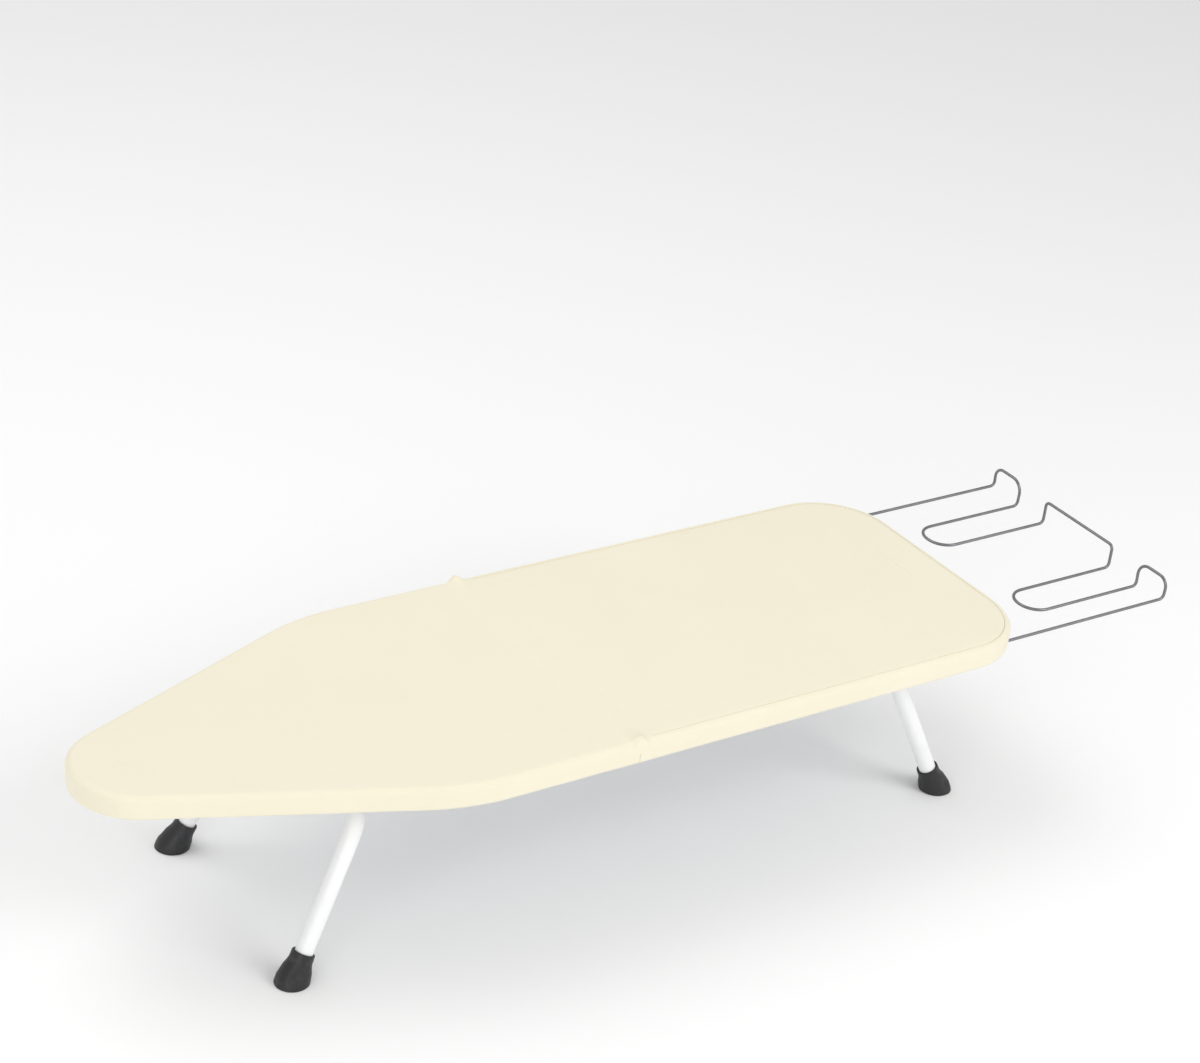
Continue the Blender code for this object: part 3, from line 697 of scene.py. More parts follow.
def bent_rod(name: str, corners: Sequence[Point], bends: Sequence[float], radius: float,
             sides: int = 16, steps: int = 8) -> bpy.types.Object:
    """Bend a rod the way a wire bender does: straight runs joined by arcs.

    Args:
        name: Name of the piece.
        corners: Points where the straight runs would meet, with both ends.
        bends: Bend radius at each inner corner.
        radius: Radius of the rod.
        sides: Points round the rod.
        steps: Steps in each bend.

    Returns:
        The closed rod.
    """
    spots = [Vector(corner) for corner in corners]
    piece = ring_at(name, spots[0], spots[1] - spots[0], radius, sides)
    here = spots[0]
    for before, corner, after, bend in zip(spots, spots[1:], spots[2:], bends):
        into, out = (corner - before).normalized(), (after - corner).normalized()
        turn = into.angle(out)
        reach = min(bend * tan(turn / 2), LONGEST_BEND * (corner - before).length,
                    LONGEST_BEND * (after - corner).length)
        true_bend = reach / tan(turn / 2)
        start = corner - into * reach
        pull(start - here)
        axis = into.cross(out).normalized()
        centre = start + axis.cross(into) * true_bend
        bpy.ops.mesh.spin(steps=steps, angle=-turn, center=tuple(centre), axis=tuple(axis))
        here = corner + out * reach
    pull(spots[-1] - here)
    return close_up(piece, 50.0)


def turned(name: str, profile: Sequence[Pair], sides: int,
           smooth: float = 35.0) -> bpy.types.Object:
    """Turn a profile about Z, by extruding and scaling a circle.

    Args:
        name: Name of the piece.
        profile: Radius and height of each ring, from one end to the other.
        sides: Points round the piece.
        smooth: Edges flatter than this many degrees are shaded smooth.

    Returns:
        The closed piece.
    """
    start_radius, start_height = profile[0]
    piece = ring_at(name, Vector((0, 0, start_height)), Vector((0, 0, 1)), start_radius, sides)
    for (radius, height), (wider, higher) in zip(profile, profile[1:]):
        pull(Vector((0, 0, higher - height)))
        scale = wider / radius
        bpy.ops.transform.resize(value=(scale, scale, 1.0), center_override=(0, 0, higher))
    return close_up(piece, smooth)


def stand(piece: bpy.types.Object, place: Sequence[float],
          along: Sequence[float]) -> bpy.types.Object:
    """Move a piece made at the origin to its place.

    Args:
        piece: The piece, with its own axis along +Z.
        place: Where its origin goes.
        along: Where its axis points.

    Returns:
        The same piece, settled there.
    """
    piece.rotation_mode = "QUATERNION"
    piece.rotation_quaternion = Vector((0, 0, 1)).rotation_difference(Vector(along))
    piece.location = place
    return settle(piece)


def copy_of(pattern: bpy.types.Object, name: str) -> bpy.types.Object:
    """A copy of a pattern piece.

    Args:
        pattern: The piece that was modelled.
        name: Name of the copy.

    Returns:
        The copy, with its own mesh.
    """
    made = pattern.copy()
    made.data = pattern.data.copy()
    made.name = name
    made.data.name = name
    bpy.context.scene.collection.objects.link(made)
    return made


def scrap(pattern: bpy.types.Object) -> None:
    """Remove a pattern piece and its mesh.

    Args:
        pattern: The piece that was copied.
    """
    mesh = pattern.data
    bpy.data.objects.remove(pattern, do_unlink=True)
    bpy.data.meshes.remove(mesh)


# ---------------------------------------------------------------------------
# Layout
# ---------------------------------------------------------------------------


@dataclass(frozen=True)
class Layout:
    """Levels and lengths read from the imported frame."""

    fold_x: float
    top: float
    half_length: float
    half_width: float
    hem_low: float
    pad_top: float
    pad_low: float
    deck_low: float
    deck_high: float

    @classmethod
    def from_frame(cls) -> "Layout":
        """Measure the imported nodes.

        Returns:
            The layout of this frame.
        """
        fold = next(joint for joint in frame["joints"] if joint["name"] == "fold_hinge")
        low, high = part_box("rear_cover")
        pad_low, pad_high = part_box("rear_pad")
        deck_low, deck_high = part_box("rear_deck_mesh")
        fold_x = fold["pos_m"][0]
        return cls(fold_x=fold_x, top=high.z, half_length=high.x - fold_x, half_width=high.y,
                   hem_low=low.z, pad_top=pad_high.z, pad_low=pad_low.z,
                   deck_low=deck_low.z, deck_high=deck_high.z)


def joint_place(name: str) -> Vector:
    """Where a hinge's axis is."""
    joint = next(item for item in frame["joints"] if item["name"] == name)
    return Vector(joint["pos_m"])


@dataclass(frozen=True)
class HalfShape:
    """Plan of one half of the board, inset by any distance from its edge."""

    body: Body
    sign: int
    layout: Layout
    corner_radius: float = 0.072
    tip_radius: float = 0.058
    shoulder_radius: float = 0.20
    taper: float = radians(21.5)
    corner_steps: int = 18
    rear_side_steps: int = 14
    nose_side_steps: int = 6
    taper_steps: int = 8

    @property
    def label(self) -> str:
        """Name of the half in piece names."""
        return self.body.value.split("_")[0]

    def side_line(self, inset: float) -> list[Pair]:
        """The +Y edge from the fold to the end.

        Args:
            inset: Distance in from the edge.

        Returns:
            Points as distance from the fold and distance from the middle line.
        """
        if self.body is Body.REAR:
            return self._rear_side(inset)
        return self._nose_side(inset)

    def _rear_side(self, inset: float) -> list[Pair]:
        """Straight side and round corner of the rear half.

        Args:
            inset: Distance in from the edge.

        Returns:
            The points of its +Y edge.
        """
        length, width = self.layout.half_length, self.layout.half_width
        run = length - self.corner_radius
        radius = self.corner_radius - inset
        line = self._straight(run, width - inset, self.rear_side_steps)
        for step in range(self.corner_steps + 1):
            angle = pi / 2 * step / self.corner_steps
            line.append((run + radius * sin(angle),
                         width - self.corner_radius + radius * cos(angle)))
        return line

    def _nose_side(self, inset: float) -> list[Pair]:
        """Straight side, wide shoulder, taper and round tip of the nose half.

        Args:
            inset: Distance in from the edge.

        Returns:
            The points of its +Y edge.
        """
        length, width = self.layout.half_length, self.layout.half_width
        tip_x = length - self.tip_radius
        shoulder_y = width - self.shoulder_radius
        shoulder_x = self._shoulder_x()
        line = self._straight(shoulder_x, width - inset, self.nose_side_steps)
        bend = self.shoulder_radius - inset
        steps = self.corner_steps // 2
        for step in range(steps + 1):
            angle = self.taper * step / steps
            line.append((shoulder_x + bend * sin(angle), shoulder_y + bend * cos(angle)))
        start = line[-1]
        round_tip = self.tip_radius - inset
        end = (tip_x + round_tip * sin(self.taper), round_tip * cos(self.taper))
        for step in range(1, self.taper_steps):
            share = step / self.taper_steps
            line.append((start[0] + share * (end[0] - start[0]),
                         start[1] + share * (end[1] - start[1])))
        for step in range(self.corner_steps + 1):
            angle = self.taper + (pi / 2 - self.taper) * step / self.corner_steps
            line.append((tip_x + round_tip * sin(angle), round_tip * cos(angle)))
        return line

    def bends(self, inset: float, height: float,
              start: float) -> tuple[list[Point], list[float]]:
        """Outline as a wire bender needs it.

        Args:
            inset: Distance in from the edge.
            height: Level of the outline.
            start: Distance from the fold to both ends.

        Returns:
            The corners from the +Y end round to the -Y end, and the bend at each inner corner.
        """
        layout = self.layout
        side = layout.half_width - inset
        if self.body is Body.REAR:
            plan = [(start, side), (layout.half_length - inset, side)]
            plan += [(along, -across) for along, across in reversed(plan)]
            radii = [self.corner_radius - inset] * 2
        else:
            tip_x = layout.half_length - self.tip_radius
            shoulder_x = self._shoulder_x()
            corner = shoulder_x + (self.shoulder_radius - inset) * tan(self.taper / 2)
            apex = tip_x + (self.tip_radius - inset) / sin(self.taper)
            plan = [(start, side), (corner, side), (apex, 0.0), (corner, -side), (start, -side)]
            radii = [self.shoulder_radius - inset, self.tip_radius - inset,
                     self.shoulder_radius - inset]
        corners = [(layout.fold_x + self.sign * along, across, height) for along, across in plan]
        return corners, radii

    def _shoulder_x(self) -> float:
        """Place of the shoulder, where its taper just meets the round tip.

        Returns:
            The distance from the fold to the middle of the shoulder's arc.
        """
        tip_x = self.layout.half_length - self.tip_radius
        shoulder_y = self.layout.half_width - self.shoulder_radius
        return tip_x + (self.tip_radius - self.shoulder_radius
                        - shoulder_y * cos(self.taper)) / sin(self.taper)

    @staticmethod
    def _straight(end: float, across: float, steps: int) -> list[Pair]:
        """Points along the straight side from the fold, without its end."""
        return [(end * step / steps, across) for step in range(steps)]

    def ring(self, inset: float, height: float, start: float = 0.0) -> list[Point]:
        """Points of the whole edge, from the fold's +Y side round to its -Y side.

        Args:
            inset: Distance in from the edge.
            height: Level of the ring.
            start: Distance from the fold to both ends.

        Returns:
            The points, with one in the middle where the two sides meet.
        """
        side = self.side_line(inset)
        side[0] = (start, side[0][1])
        tip = [side.pop()] if side[-1][1] < MERGE else []
        plan = side + tip + [(along, -across) for along, across in reversed(side)]
        return [(self.layout.fold_x + self.sign * along, across, height) for along, across in plan]


# ---------------------------------------------------------------------------
# Cover, pad and deck
# ---------------------------------------------------------------------------


@dataclass(frozen=True)
class CoverHalf:
    """One half of the cotton cover: top, rounded edge, skirt and turned hem."""

    shape: HalfShape
    cloth: float = 0.0008
    edge_radius: float = 0.0058
    edge_steps: int = 7
    edge_above_skirt: float = 0.0030
    hem_width: float = 0.0222
    hem_roll: float = 0.0020
    hem_rise: float = 0.0001
    hem_middle: float = 0.0080
    stitch_inset: float = 0.0182
    stitch_half_width: float = 0.0004
    stitch_depth: float = 0.0004
    # Soft corner between hem and skirt: inset and height over the hem
    skirt_corner: tuple[Pair, ...] = ((0.0034, 0.0), (0.0016, 0.0004), (0.0006, 0.0013),
                                      (0.0003, 0.0028), (0.0001, 0.0060))
    # Crease inside the rear half's edge: distance in from the rounding and depth
    crease: tuple[Pair, ...] = ((0.0001, 0.0001), (0.0004, 0.0012), (0.0009, 0.0012),
                                (0.0012, 0.0003))
    top_insets: tuple[float, ...] = (0.0085, 0.0125, 0.0180, 0.0260, 0.0360, 0.0460)
    top_columns: int = 24
    fold_gap: float = 0.0002
    ripple: float = 0.00035
    rippled_levels: range = range(5, 12)
    unevenness: float = 0.00022
    fade_reach: float = 0.05
    flat_at_fold: float = 0.02
    rear_cut_share: float = 0.95
    nose_cut_share: float = 0.80

    def profile(self) -> list[Pair]:
        """Outer surface from the hem's inner edge, round the skirt, to the top.

        Returns:
            The inset and height of each ring of points.
        """
        low, top = self.shape.layout.hem_low + self.hem_rise, self.shape.layout.top
        edge, stitch, half = self.edge_radius, self.stitch_inset, self.stitch_half_width
        line = [(self.hem_width, low), (self.hem_width - self.hem_roll, low), (stitch + half, low),
                (stitch, low + self.stitch_depth), (stitch - half, low), (self.hem_middle, low)]
        line += [(inset, low + rise) for inset, rise in self.skirt_corner]
        line.append((self.skirt_corner[-1][0], top - edge - self.edge_above_skirt))
        for step in range(self.edge_steps):
            angle = pi / 2 * step / self.edge_steps
            line.append((edge * (1 - cos(angle)), top - edge * (1 - sin(angle))))
        if self.shape.body is Body.REAR:
            line += [(edge + inward, top - depth) for inward, depth in self.crease]
        else:
            line.append((edge, top))
        return line + [(inset, top) for inset in self.top_insets]

    def build(self, finish: bpy.types.Material) -> bpy.types.Object:
        """Loft the cloth and give it its thickness.

        Args:
            finish: The cotton.

        Returns:
            The cover of this half.
        """
        rings = [self.shape.ring(inset, height, self.fold_gap) for inset, height in self.profile()]
        size = len(rings[0])
        points = [self.rippled(Vector(point), level) for level, ring in enumerate(rings)
                  for point in ring]
        faces = []
        for level in range(len(rings) - 1):
            for step in range(size - 1):
                low = level * size + step
                faces.append((low, low + 1, low + size + 1, low + size))
        self._fill_top(points, faces, (len(rings) - 1) * size, size)
        label = self.shape.label
        piece = raw_mesh(f"{label}_cover_cloth", points, faces)
        close_up(piece, 180.0, fill=False)
        apply_modifier(piece, "SOLIDIFY", thickness=self.cloth, offset=-1.0, use_even_offset=True)
        close_up(piece, 60.0, fill=False)
        fit(piece, self.shape.body, finish, "cream_cotton", f"{label}_cover")
        self.flat_size()
        self.flat_area()
        return piece

    def _fill_top(self, points: list[Vector], faces: list[tuple[int, ...]], last: int,
                  size: int) -> None:
        """Span the top from side to side, a little uneven as a padded top is.

        Args:
            points: Points so far, to which the top's are added.
            faces: Faces so far, to which the top's are added.
            last: Number of the innermost ring's first point.
            size: How many points a ring has.
        """
        columns = self.top_columns
        rows = []
        for step in range(size // 2 + size % 2):
            left, right = last + step, last + size - 1 - step
            row = [left]
            for column in range(1, columns if left != right else 1):
                share = column / columns
                points.append(self._uneven(points[left].lerp(points[right], share), share))
                row.append(len(points) - 1)
            row.append(right)
            rows.append(row)
        for before, after in zip(rows, rows[1:]):
            if len(after) == 2:
                faces += [(before[step], before[step + 1], after[0]) for step in range(columns)]
            else:
                faces += [(before[step], before[step + 1], after[step + 1], after[step])
                          for step in range(columns)]

    def _uneven(self, point: Vector, share: float) -> Vector:
        """Raise or lower a point of the top by less than half a millimetre.

        Args:
            point: The point, which is moved.
            share: How far across the board it is, from 0 to 1.

        Returns:
            The same point.
        """
        layout = self.shape.layout
        reach = abs(point.x - layout.fold_x)
        off_fold = min(1.0, max(0.0, reach - self.flat_at_fold) / self.fade_reach)
        off_end = min(1.0, (layout.half_length - reach) / self.fade_reach)
        fade = off_fold * off_end * sin(pi * share)
        swell = sin(point.x * 47.0 + 1.3) * cos(point.y * 61.0 + 0.4) + 0.6 * sin(
            point.x * 19.0 - point.y * 37.0)
        point.z += self.unevenness * fade * (swell - 0.5)
        return point

    def rippled(self, point: Vector, level: int) -> Vector:
        """Small soft waves in the skirt and hem, none on the flat top or at the fold.

        Args:
            point: A point of the smooth cover.
            level: Number of its ring, counted from the hem's inner edge.

        Returns:
            The point where the cloth has it.
        """
        fold_x = self.shape.layout.fold_x
        wave = sin(point.x * 71.0) * cos(point.y * 53.0) + 0.5 * sin(
            point.x * 163.0 + point.y * 131.0)
        loose = level in self.rippled_levels
        share = min(1.0, abs(point.x - fold_x) / self.fade_reach) if loose else 0.0
        inward = (Vector((fold_x, 0.0, point.z)) - point).normalized()
        return point + inward * (self.ripple * share * (1.0 + 0.6 * wave))

    def flat_size(self) -> tuple[float, float]:
        """What this half was cut to.

        Returns:
            Width and length of the cut.
        """
        layout = self.shape.layout
        turned_in = (layout.top - layout.hem_low) + self.hem_width
        return 2 * (layout.half_width + turned_in), layout.half_length + turned_in

    def flat_area(self) -> float:
        """How much cloth the cut has, as it follows the half's outline.

        Returns:
            The area in square metres.
        """
        width, length = self.flat_size()
        rear = self.shape.body is Body.REAR
        return (self.rear_cut_share if rear else self.nose_cut_share) * width * length


@dataclass(frozen=True)
class FoldPanel:
    """Strip of the cover's top that runs unbroken over the fold and the hinge ears."""

    layout: Layout
    reach: float = 0.016
    along_steps: int = 8
    across_steps: int = 12
    cloth: float = 0.0006
    edge_sink: float = 0.00015
    underside_sink: float = 0.0002
    edge_radius: float = 0.0058
    edge_steps: int = 8
    side_levels: Pair = (0.0080, 0.0110)
    side_wrap: float = 0.009
    blend_reach: float = 0.006
    ear_height: float = 0.0037
    ear_side_rise: float = 0.0045
    ear_inset: float = 0.0029
    ear_along: float = 0.0095
    ear_across: float = 0.0100

    def build(self, finish: bpy.types.Material) -> bpy.types.Object:
        """Make the strip as a thin closed sheet, feathered at its two long edges.

        Args:
            finish: The cotton.

        Returns:
            The strip.
        """
        steps = self.along_steps
        columns = [self.reach * (step / steps - 1) for step in range(2 * steps + 1)]
        rows = self._rows()
        points = [self._point(along, *row, upper) for upper in (True, False) for row in rows
                  for along in columns]
        piece = raw_mesh("fold_cover_panel", points, self._faces(len(columns), len(rows)))
        close_up(piece, 60.0, fill=False)
        dress(piece, finish)
        fold_x, top = self.layout.fold_x, self.layout.top
        fold_x + self.blend_reach
        fold_x - self.blend_reach
        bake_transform(piece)
        2 * self.reach
        2 * (self.layout.half_width + self.side_wrap)
        log.info("%s bends across the fold", piece.name)
        return piece

    @staticmethod
    def _faces(wide: int, tall: int) -> list[tuple[int, ...]]:
        """Faces of an upper and a lower grid of points, and of the wall round them.

        Args:
            wide: Points along the board in each grid.
            tall: Points across the board in each grid.

        Returns:
            The faces, with the upper grid's points numbered first.
        """
        count = wide * tall
        faces: list[tuple[int, ...]] = []
        for row in range(tall - 1):
            for step in range(wide - 1):
                base = row * wide + step
                faces.append((base, base + 1, base + wide + 1, base + wide))
                faces.append((count + base, count + base + wide, count + base + wide + 1,
                              count + base + 1))
        border = [row * wide for row in range(tall)]
        border += [(tall - 1) * wide + step for step in range(1, wide)]
        border += [row * wide + wide - 1 for row in reversed(range(tall - 1))]
        border += list(reversed(range(1, wide - 1)))
        for first, second in zip(border, border[1:] + border[:1]):
            faces.append((first, second, second + count, first + count))
        return faces

    def _rows(self) -> list[tuple[float, float, float]]:
        """Stations across the board, from the -Y skirt to the +Y skirt.

        Returns:
            The distance from the middle, drop below the top, and slope of each.
        """
        flat, steps = self.layout.half_width - self.edge_radius, self.across_steps
        middle = [(flat * (step / steps - 1), 0.0, 0.0) for step in range(2 * steps + 1)]
        edge = []
        for step in range(1, self.edge_steps + 1):
            angle = pi / 2 * step / self.edge_steps
            edge.append((flat + self.edge_radius * sin(angle), self.edge_radius * (1 - cos(angle)),
                         angle))
        edge += [(flat + self.edge_radius, drop, pi / 2) for drop in self.side_levels]
        return [(-across, drop, -slope) for across, drop, slope in reversed(edge)] + middle + edge

    def _point(self, along: float, across: float, drop: float, slope: float, upper: bool) -> Point:
        """One point of the strip, raised where it lies over a hinge ear.

        Args:
            along: Distance from the fold.
            across: Distance from the middle line.
            drop: Distance below the top.
            slope: How far the cloth has turned down, in radians.
            upper: Whether the point is on the outer face.

        Returns:
            The point.
        """
        layout = self.layout
        full = self.cloth * (1.0 - (along / self.reach) ** 2)
        proud = full - self.edge_sink if upper else -self.underside_sink
        ear_y = 0.0 if drop else (
            abs(across) - layout.half_width + self.ear_inset) / self.ear_across
        lump = max(0.0, 1.0 - (along / self.ear_along) ** 2 - ear_y * ear_y) ** 2
        sunk = max(0.0, (drop - self.edge_radius) / (self.side_levels[-1] - self.edge_radius))
        ear = (self.ear_height + min(drop, self.ear_side_rise)) * lump * (1.0 - sunk)
        return (layout.fold_x + along, across + proud * sin(slope),
                layout.top - drop + proud * cos(slope) + ear)


@dataclass(frozen=True)
class FeltPad:
    """Felt under the cover, over the mesh below."""

    shape: HalfShape
    inset: float = 0.0072
    face_ring: float = 0.0400
    fold_gap: float = 0.0012
    clearance: float = 0.0001
    # Soft edge: distance in from the side and from the face
    soft_edge: tuple[Pair, ...] = ((0.0020, 0.0), (0.0005, 0.0006), (0.0, 0.0018))

    def build(self, finish: bpy.types.Material) -> bpy.types.Object:
        """Loft a slab with soft edges.

        Args:
            finish: The felt.

        Returns:
            The pad of this half.
        """
        layout, face = self.shape.layout, self.inset + self.face_ring
        low, high = layout.pad_low + self.clearance, layout.pad_top - self.clearance
        profile = [(face, low)]
        profile += [(self.inset + inward, low + step) for inward, step in self.soft_edge]
        profile += [(self.inset + inward, high - step) for inward, step in reversed(self.soft_edge)]
        profile.append((face, high))
        rings = [self.shape.ring(inset, height, self.fold_gap) for inset, height in profile]
        size = len(rings[0])
        points = [point for ring in rings for point in ring]
        faces = [(level * size + step, level * size + step + 1, (level + 1) * size + step + 1,
                  (level + 1) * size + step)
                 for level in range(len(rings) - 1) for step in range(size - 1)]
        last = (len(rings) - 1) * size
        faces.append(tuple(range(size)))
        faces.append(tuple(range(last, last + size)))
        fold_end = [level * size for level in range(len(rings))]
        fold_end += [level * size + size - 1 for level in reversed(range(len(rings)))]
        faces.append(tuple(fold_end))
        piece = raw_mesh(f"{self.shape.label}_felt_pad", points, faces)
        close_up(piece, 40.0, fill=False)
        fit(piece, self.shape.body, finish, "grey_felt", f"{self.shape.label}_pad")
        return piece


@dataclass(frozen=True)
class MeshDeck:
    """Expanded metal deck: white diamonds, wider across the board than along it."""

    shape: HalfShape
    diamond_across: float = 0.016
    diamond_along: float = 0.010
    strand: float = 0.0017
    flatness: float = 0.55
    inset: float = 0.0056
    cells: int = 64
    fold_gap: float = 0.0010
    outline_stride: int = 3

    def build(self, finish: bpy.types.Material) -> bpy.types.Object:
        """Turn a grid on its corner, trim it to the outline and make its edges into strands.

        Args:
            finish: The white coat.

        Returns:
            The deck of this half.
        """
        layout = self.shape.layout
        middle = layout.fold_x + self.shape.sign * layout.half_length / 2
        height = (layout.deck_low + layout.deck_high) / 2
        clear_selection()
        bpy.ops.mesh.primitive_grid_add(x_subdivisions=self.cells, y_subdivisions=self.cells,
                                        size=self.cells, location=(0, 0, 0))
        piece = bpy.context.object
        piece.name = f"{self.shape.label}_deck_diamonds"
        edit(piece)
        bpy.ops.transform.rotate(value=radians(45), orient_axis="Z", center_override=(0, 0, 0))
        bpy.ops.transform.resize(
            value=(self.diamond_along / sqrt(2), self.diamond_across / sqrt(2), 1),
            center_override=(0, 0, 0))
        bpy.ops.transform.translate(value=(middle, 0, height))
        self._trim()
        bpy.ops.object.mode_set(mode="OBJECT")
        apply_modifier(piece, "WIREFRAME", thickness=self.strand, use_even_offset=False,
                       use_boundary=True, use_replace=True)
        edit(piece)
        bpy.ops.transform.resize(value=(1, 1, self.flatness), center_override=(0, 0, height))
        bpy.ops.object.mode_set(mode="OBJECT")
        close_up(piece, 20.0, fill=False)
        return fit(piece, self.shape.body, finish, "white_mesh", f"{self.shape.label}_deck_mesh")

    def _trim(self) -> None:
        """Cut away everything outside the deck's outline, one straight cut at a time."""
        ring = self.shape.ring(self.inset, 0.0, self.fold_gap)
        plan = ring[:1] + ring[1:-1:self.outline_stride] + ring[-1:]
        outline = [Vector(point) for point in plan]
        for first, second in zip(outline, outline[1:] + outline[:1]):
            edge = second - first
            if edge.length < NODE_MERGE:
                continue
            outward = Vector((edge.y, -edge.x, 0)) * -self.shape.sign
            bpy.ops.mesh.select_all(action="SELECT")
            bpy.ops.mesh.bisect(plane_co=tuple(first), plane_no=tuple(outward.normalized()),
                                clear_outer=True, clear_inner=False, threshold=MERGE)


# ---------------------------------------------------------------------------
# Steel frame
# ---------------------------------------------------------------------------


@dataclass(frozen=True)
class HalfFrame:
    """Rim tube, bars, crossbar and saddle of one half."""

    shape: HalfShape
    leg_name: str
    rim_inset: float = 0.0099
    rim_radius: float = 0.0049
    rim_fold_gap: float = 0.0012
    bar_bevel: float = 0.0005
    ear_bevel: float = 0.0003
    strip_bevel: float = 0.0004
    saddle_bevel: float = 0.0006
    strip_wall: float = 0.0015
    rivets: int = 4
    rivet_radius: float = 0.0035
    rivet_stand: float = 0.0023
    # Dome and dimple of a rivet head: share of its radius and height
    rivet_dome: tuple[Pair, ...] = ((1.0, 0.0), (1.02, 0.0004), (0.98, 0.0009), (0.86, 0.0015),
                                    (0.62, 0.0020), (0.36, 0.00225), (0.24, 0.0021), (0.12, 0.0017))

    def build(self, finishes: Finishes) -> None:
        """Make every steel piece of the half.

        Args:
            finishes: The board's finishes.
        """
        label, leg, paint = self.shape.label, self.leg_name, finishes.paint
        self._rim(paint)
        for side in Side:
            self._painted(f"{label}_bar_{side.label}", f"{label}_channel_bar_{side.label}",
                          paint, self.bar_bevel)
            self._painted(f"{label}_hinge_plate_{side.label}", f"{label}_fold_ear_{side.label}",
                          paint, self.ear_bevel)
        under_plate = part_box(f"{label}_crossbar")[1].z - self.strip_wall
        self._painted(f"{label}_crossbar", f"{label}_fold_strip", paint, self.strip_bevel,
                      sharp_at=under_plate)
        self._painted(f"{leg}_leg_bracket", f"{leg}_leg_saddle", paint, self.saddle_bevel,
                      segments=3)
        self._rivet_heads(finishes.rivet)

    def _painted(self, node: str, name: str, finish: bpy.types.Material, width: float,
                 **settings: Any) -> None:
        """Refine one painted CAD node of this half.

        Args:
            node: The CAD node.
            name: Name of the new piece.
            finish: The paint.
            width: Bevel width in metres.
            settings: Other settings of refined_node.
        """
        piece = refined_node(node, name, width, **settings)
        fit(piece, self.shape.body, finish, "white_paint", node)

    def _rim(self, finish: bpy.types.Material) -> None:
        """Round tube bent to the outline, open at the fold.

        Args:
            finish: The paint.
        """
        node = f"{self.shape.label}_frame_tube"
        low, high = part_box(node)
        corners, bends = self.shape.bends(self.rim_inset, (low.z + high.z) / 2, self.rim_fold_gap)
        piece = bent_rod(f"{self.shape.label}_rim_tube", corners, bends, self.rim_radius, 20, 14)
        fit(piece, self.shape.body, finish, "white_paint", node)

    def _rivet_heads(self, finish: bpy.types.Material) -> None:
        """Model one domed head with a dimple and copy it to each CAD rivet.

        Args:
            finish: The zinc.
        """
        dome = [(share * self.rivet_radius, height) for share, height in self.rivet_dome]
        pattern = turned("rivet_head_pattern", dome, 20, 50.0)
        for number in range(1, self.rivets + 1):
            node = f"{self.leg_name}_bracket_rivet_{number}"
            low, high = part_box(node)
            place = ((low.x + high.x) / 2, (low.y + high.y) / 2, low.z + self.rivet_stand)
            piece = stand(copy_of(pattern, f"{node}_head"), place, (0, 0, -1))
            fit(piece, self.shape.body, finish, "zinc_rivet", node)
        scrap(pattern)


@dataclass(frozen=True)
class FoldHardware:
    """Hinge pins, lock sleeves and their studs."""

    pin_bevel: float = 0.0001
    sleeve_bevel: float = 0.0004
    stud_bevel: float = 0.0002

    def build(self, finishes: Finishes) -> None:
        """Make the pieces round the fold.

        Args:
            finishes: The board's finishes.
        """
        for side in Side:
            pin, sleeve = f"hinge_pin_{side.label}", f"lock_sleeve_{side.label}"
            stud = f"lock_sleeve_stud_{side.label}"
            piece = refined_node(pin, f"fold_pin_{side.label}", self.pin_bevel)
            fit(piece, Body.REAR, finishes.rivet, "zinc_rivet", pin)
            piece = refined_node(sleeve, f"sliding_sleeve_{side.label}", self.sleeve_bevel)
            fit(piece, Body(sleeve), finishes.paint, "white_paint", sleeve)
            piece = refined_node(stud, f"sleeve_stud_{side.label}", self.stud_bevel)
            fit(piece, Body.NOSE, finishes.rivet, "zinc_rivet", stud)


# ---------------------------------------------------------------------------
# Legs
# ---------------------------------------------------------------------------


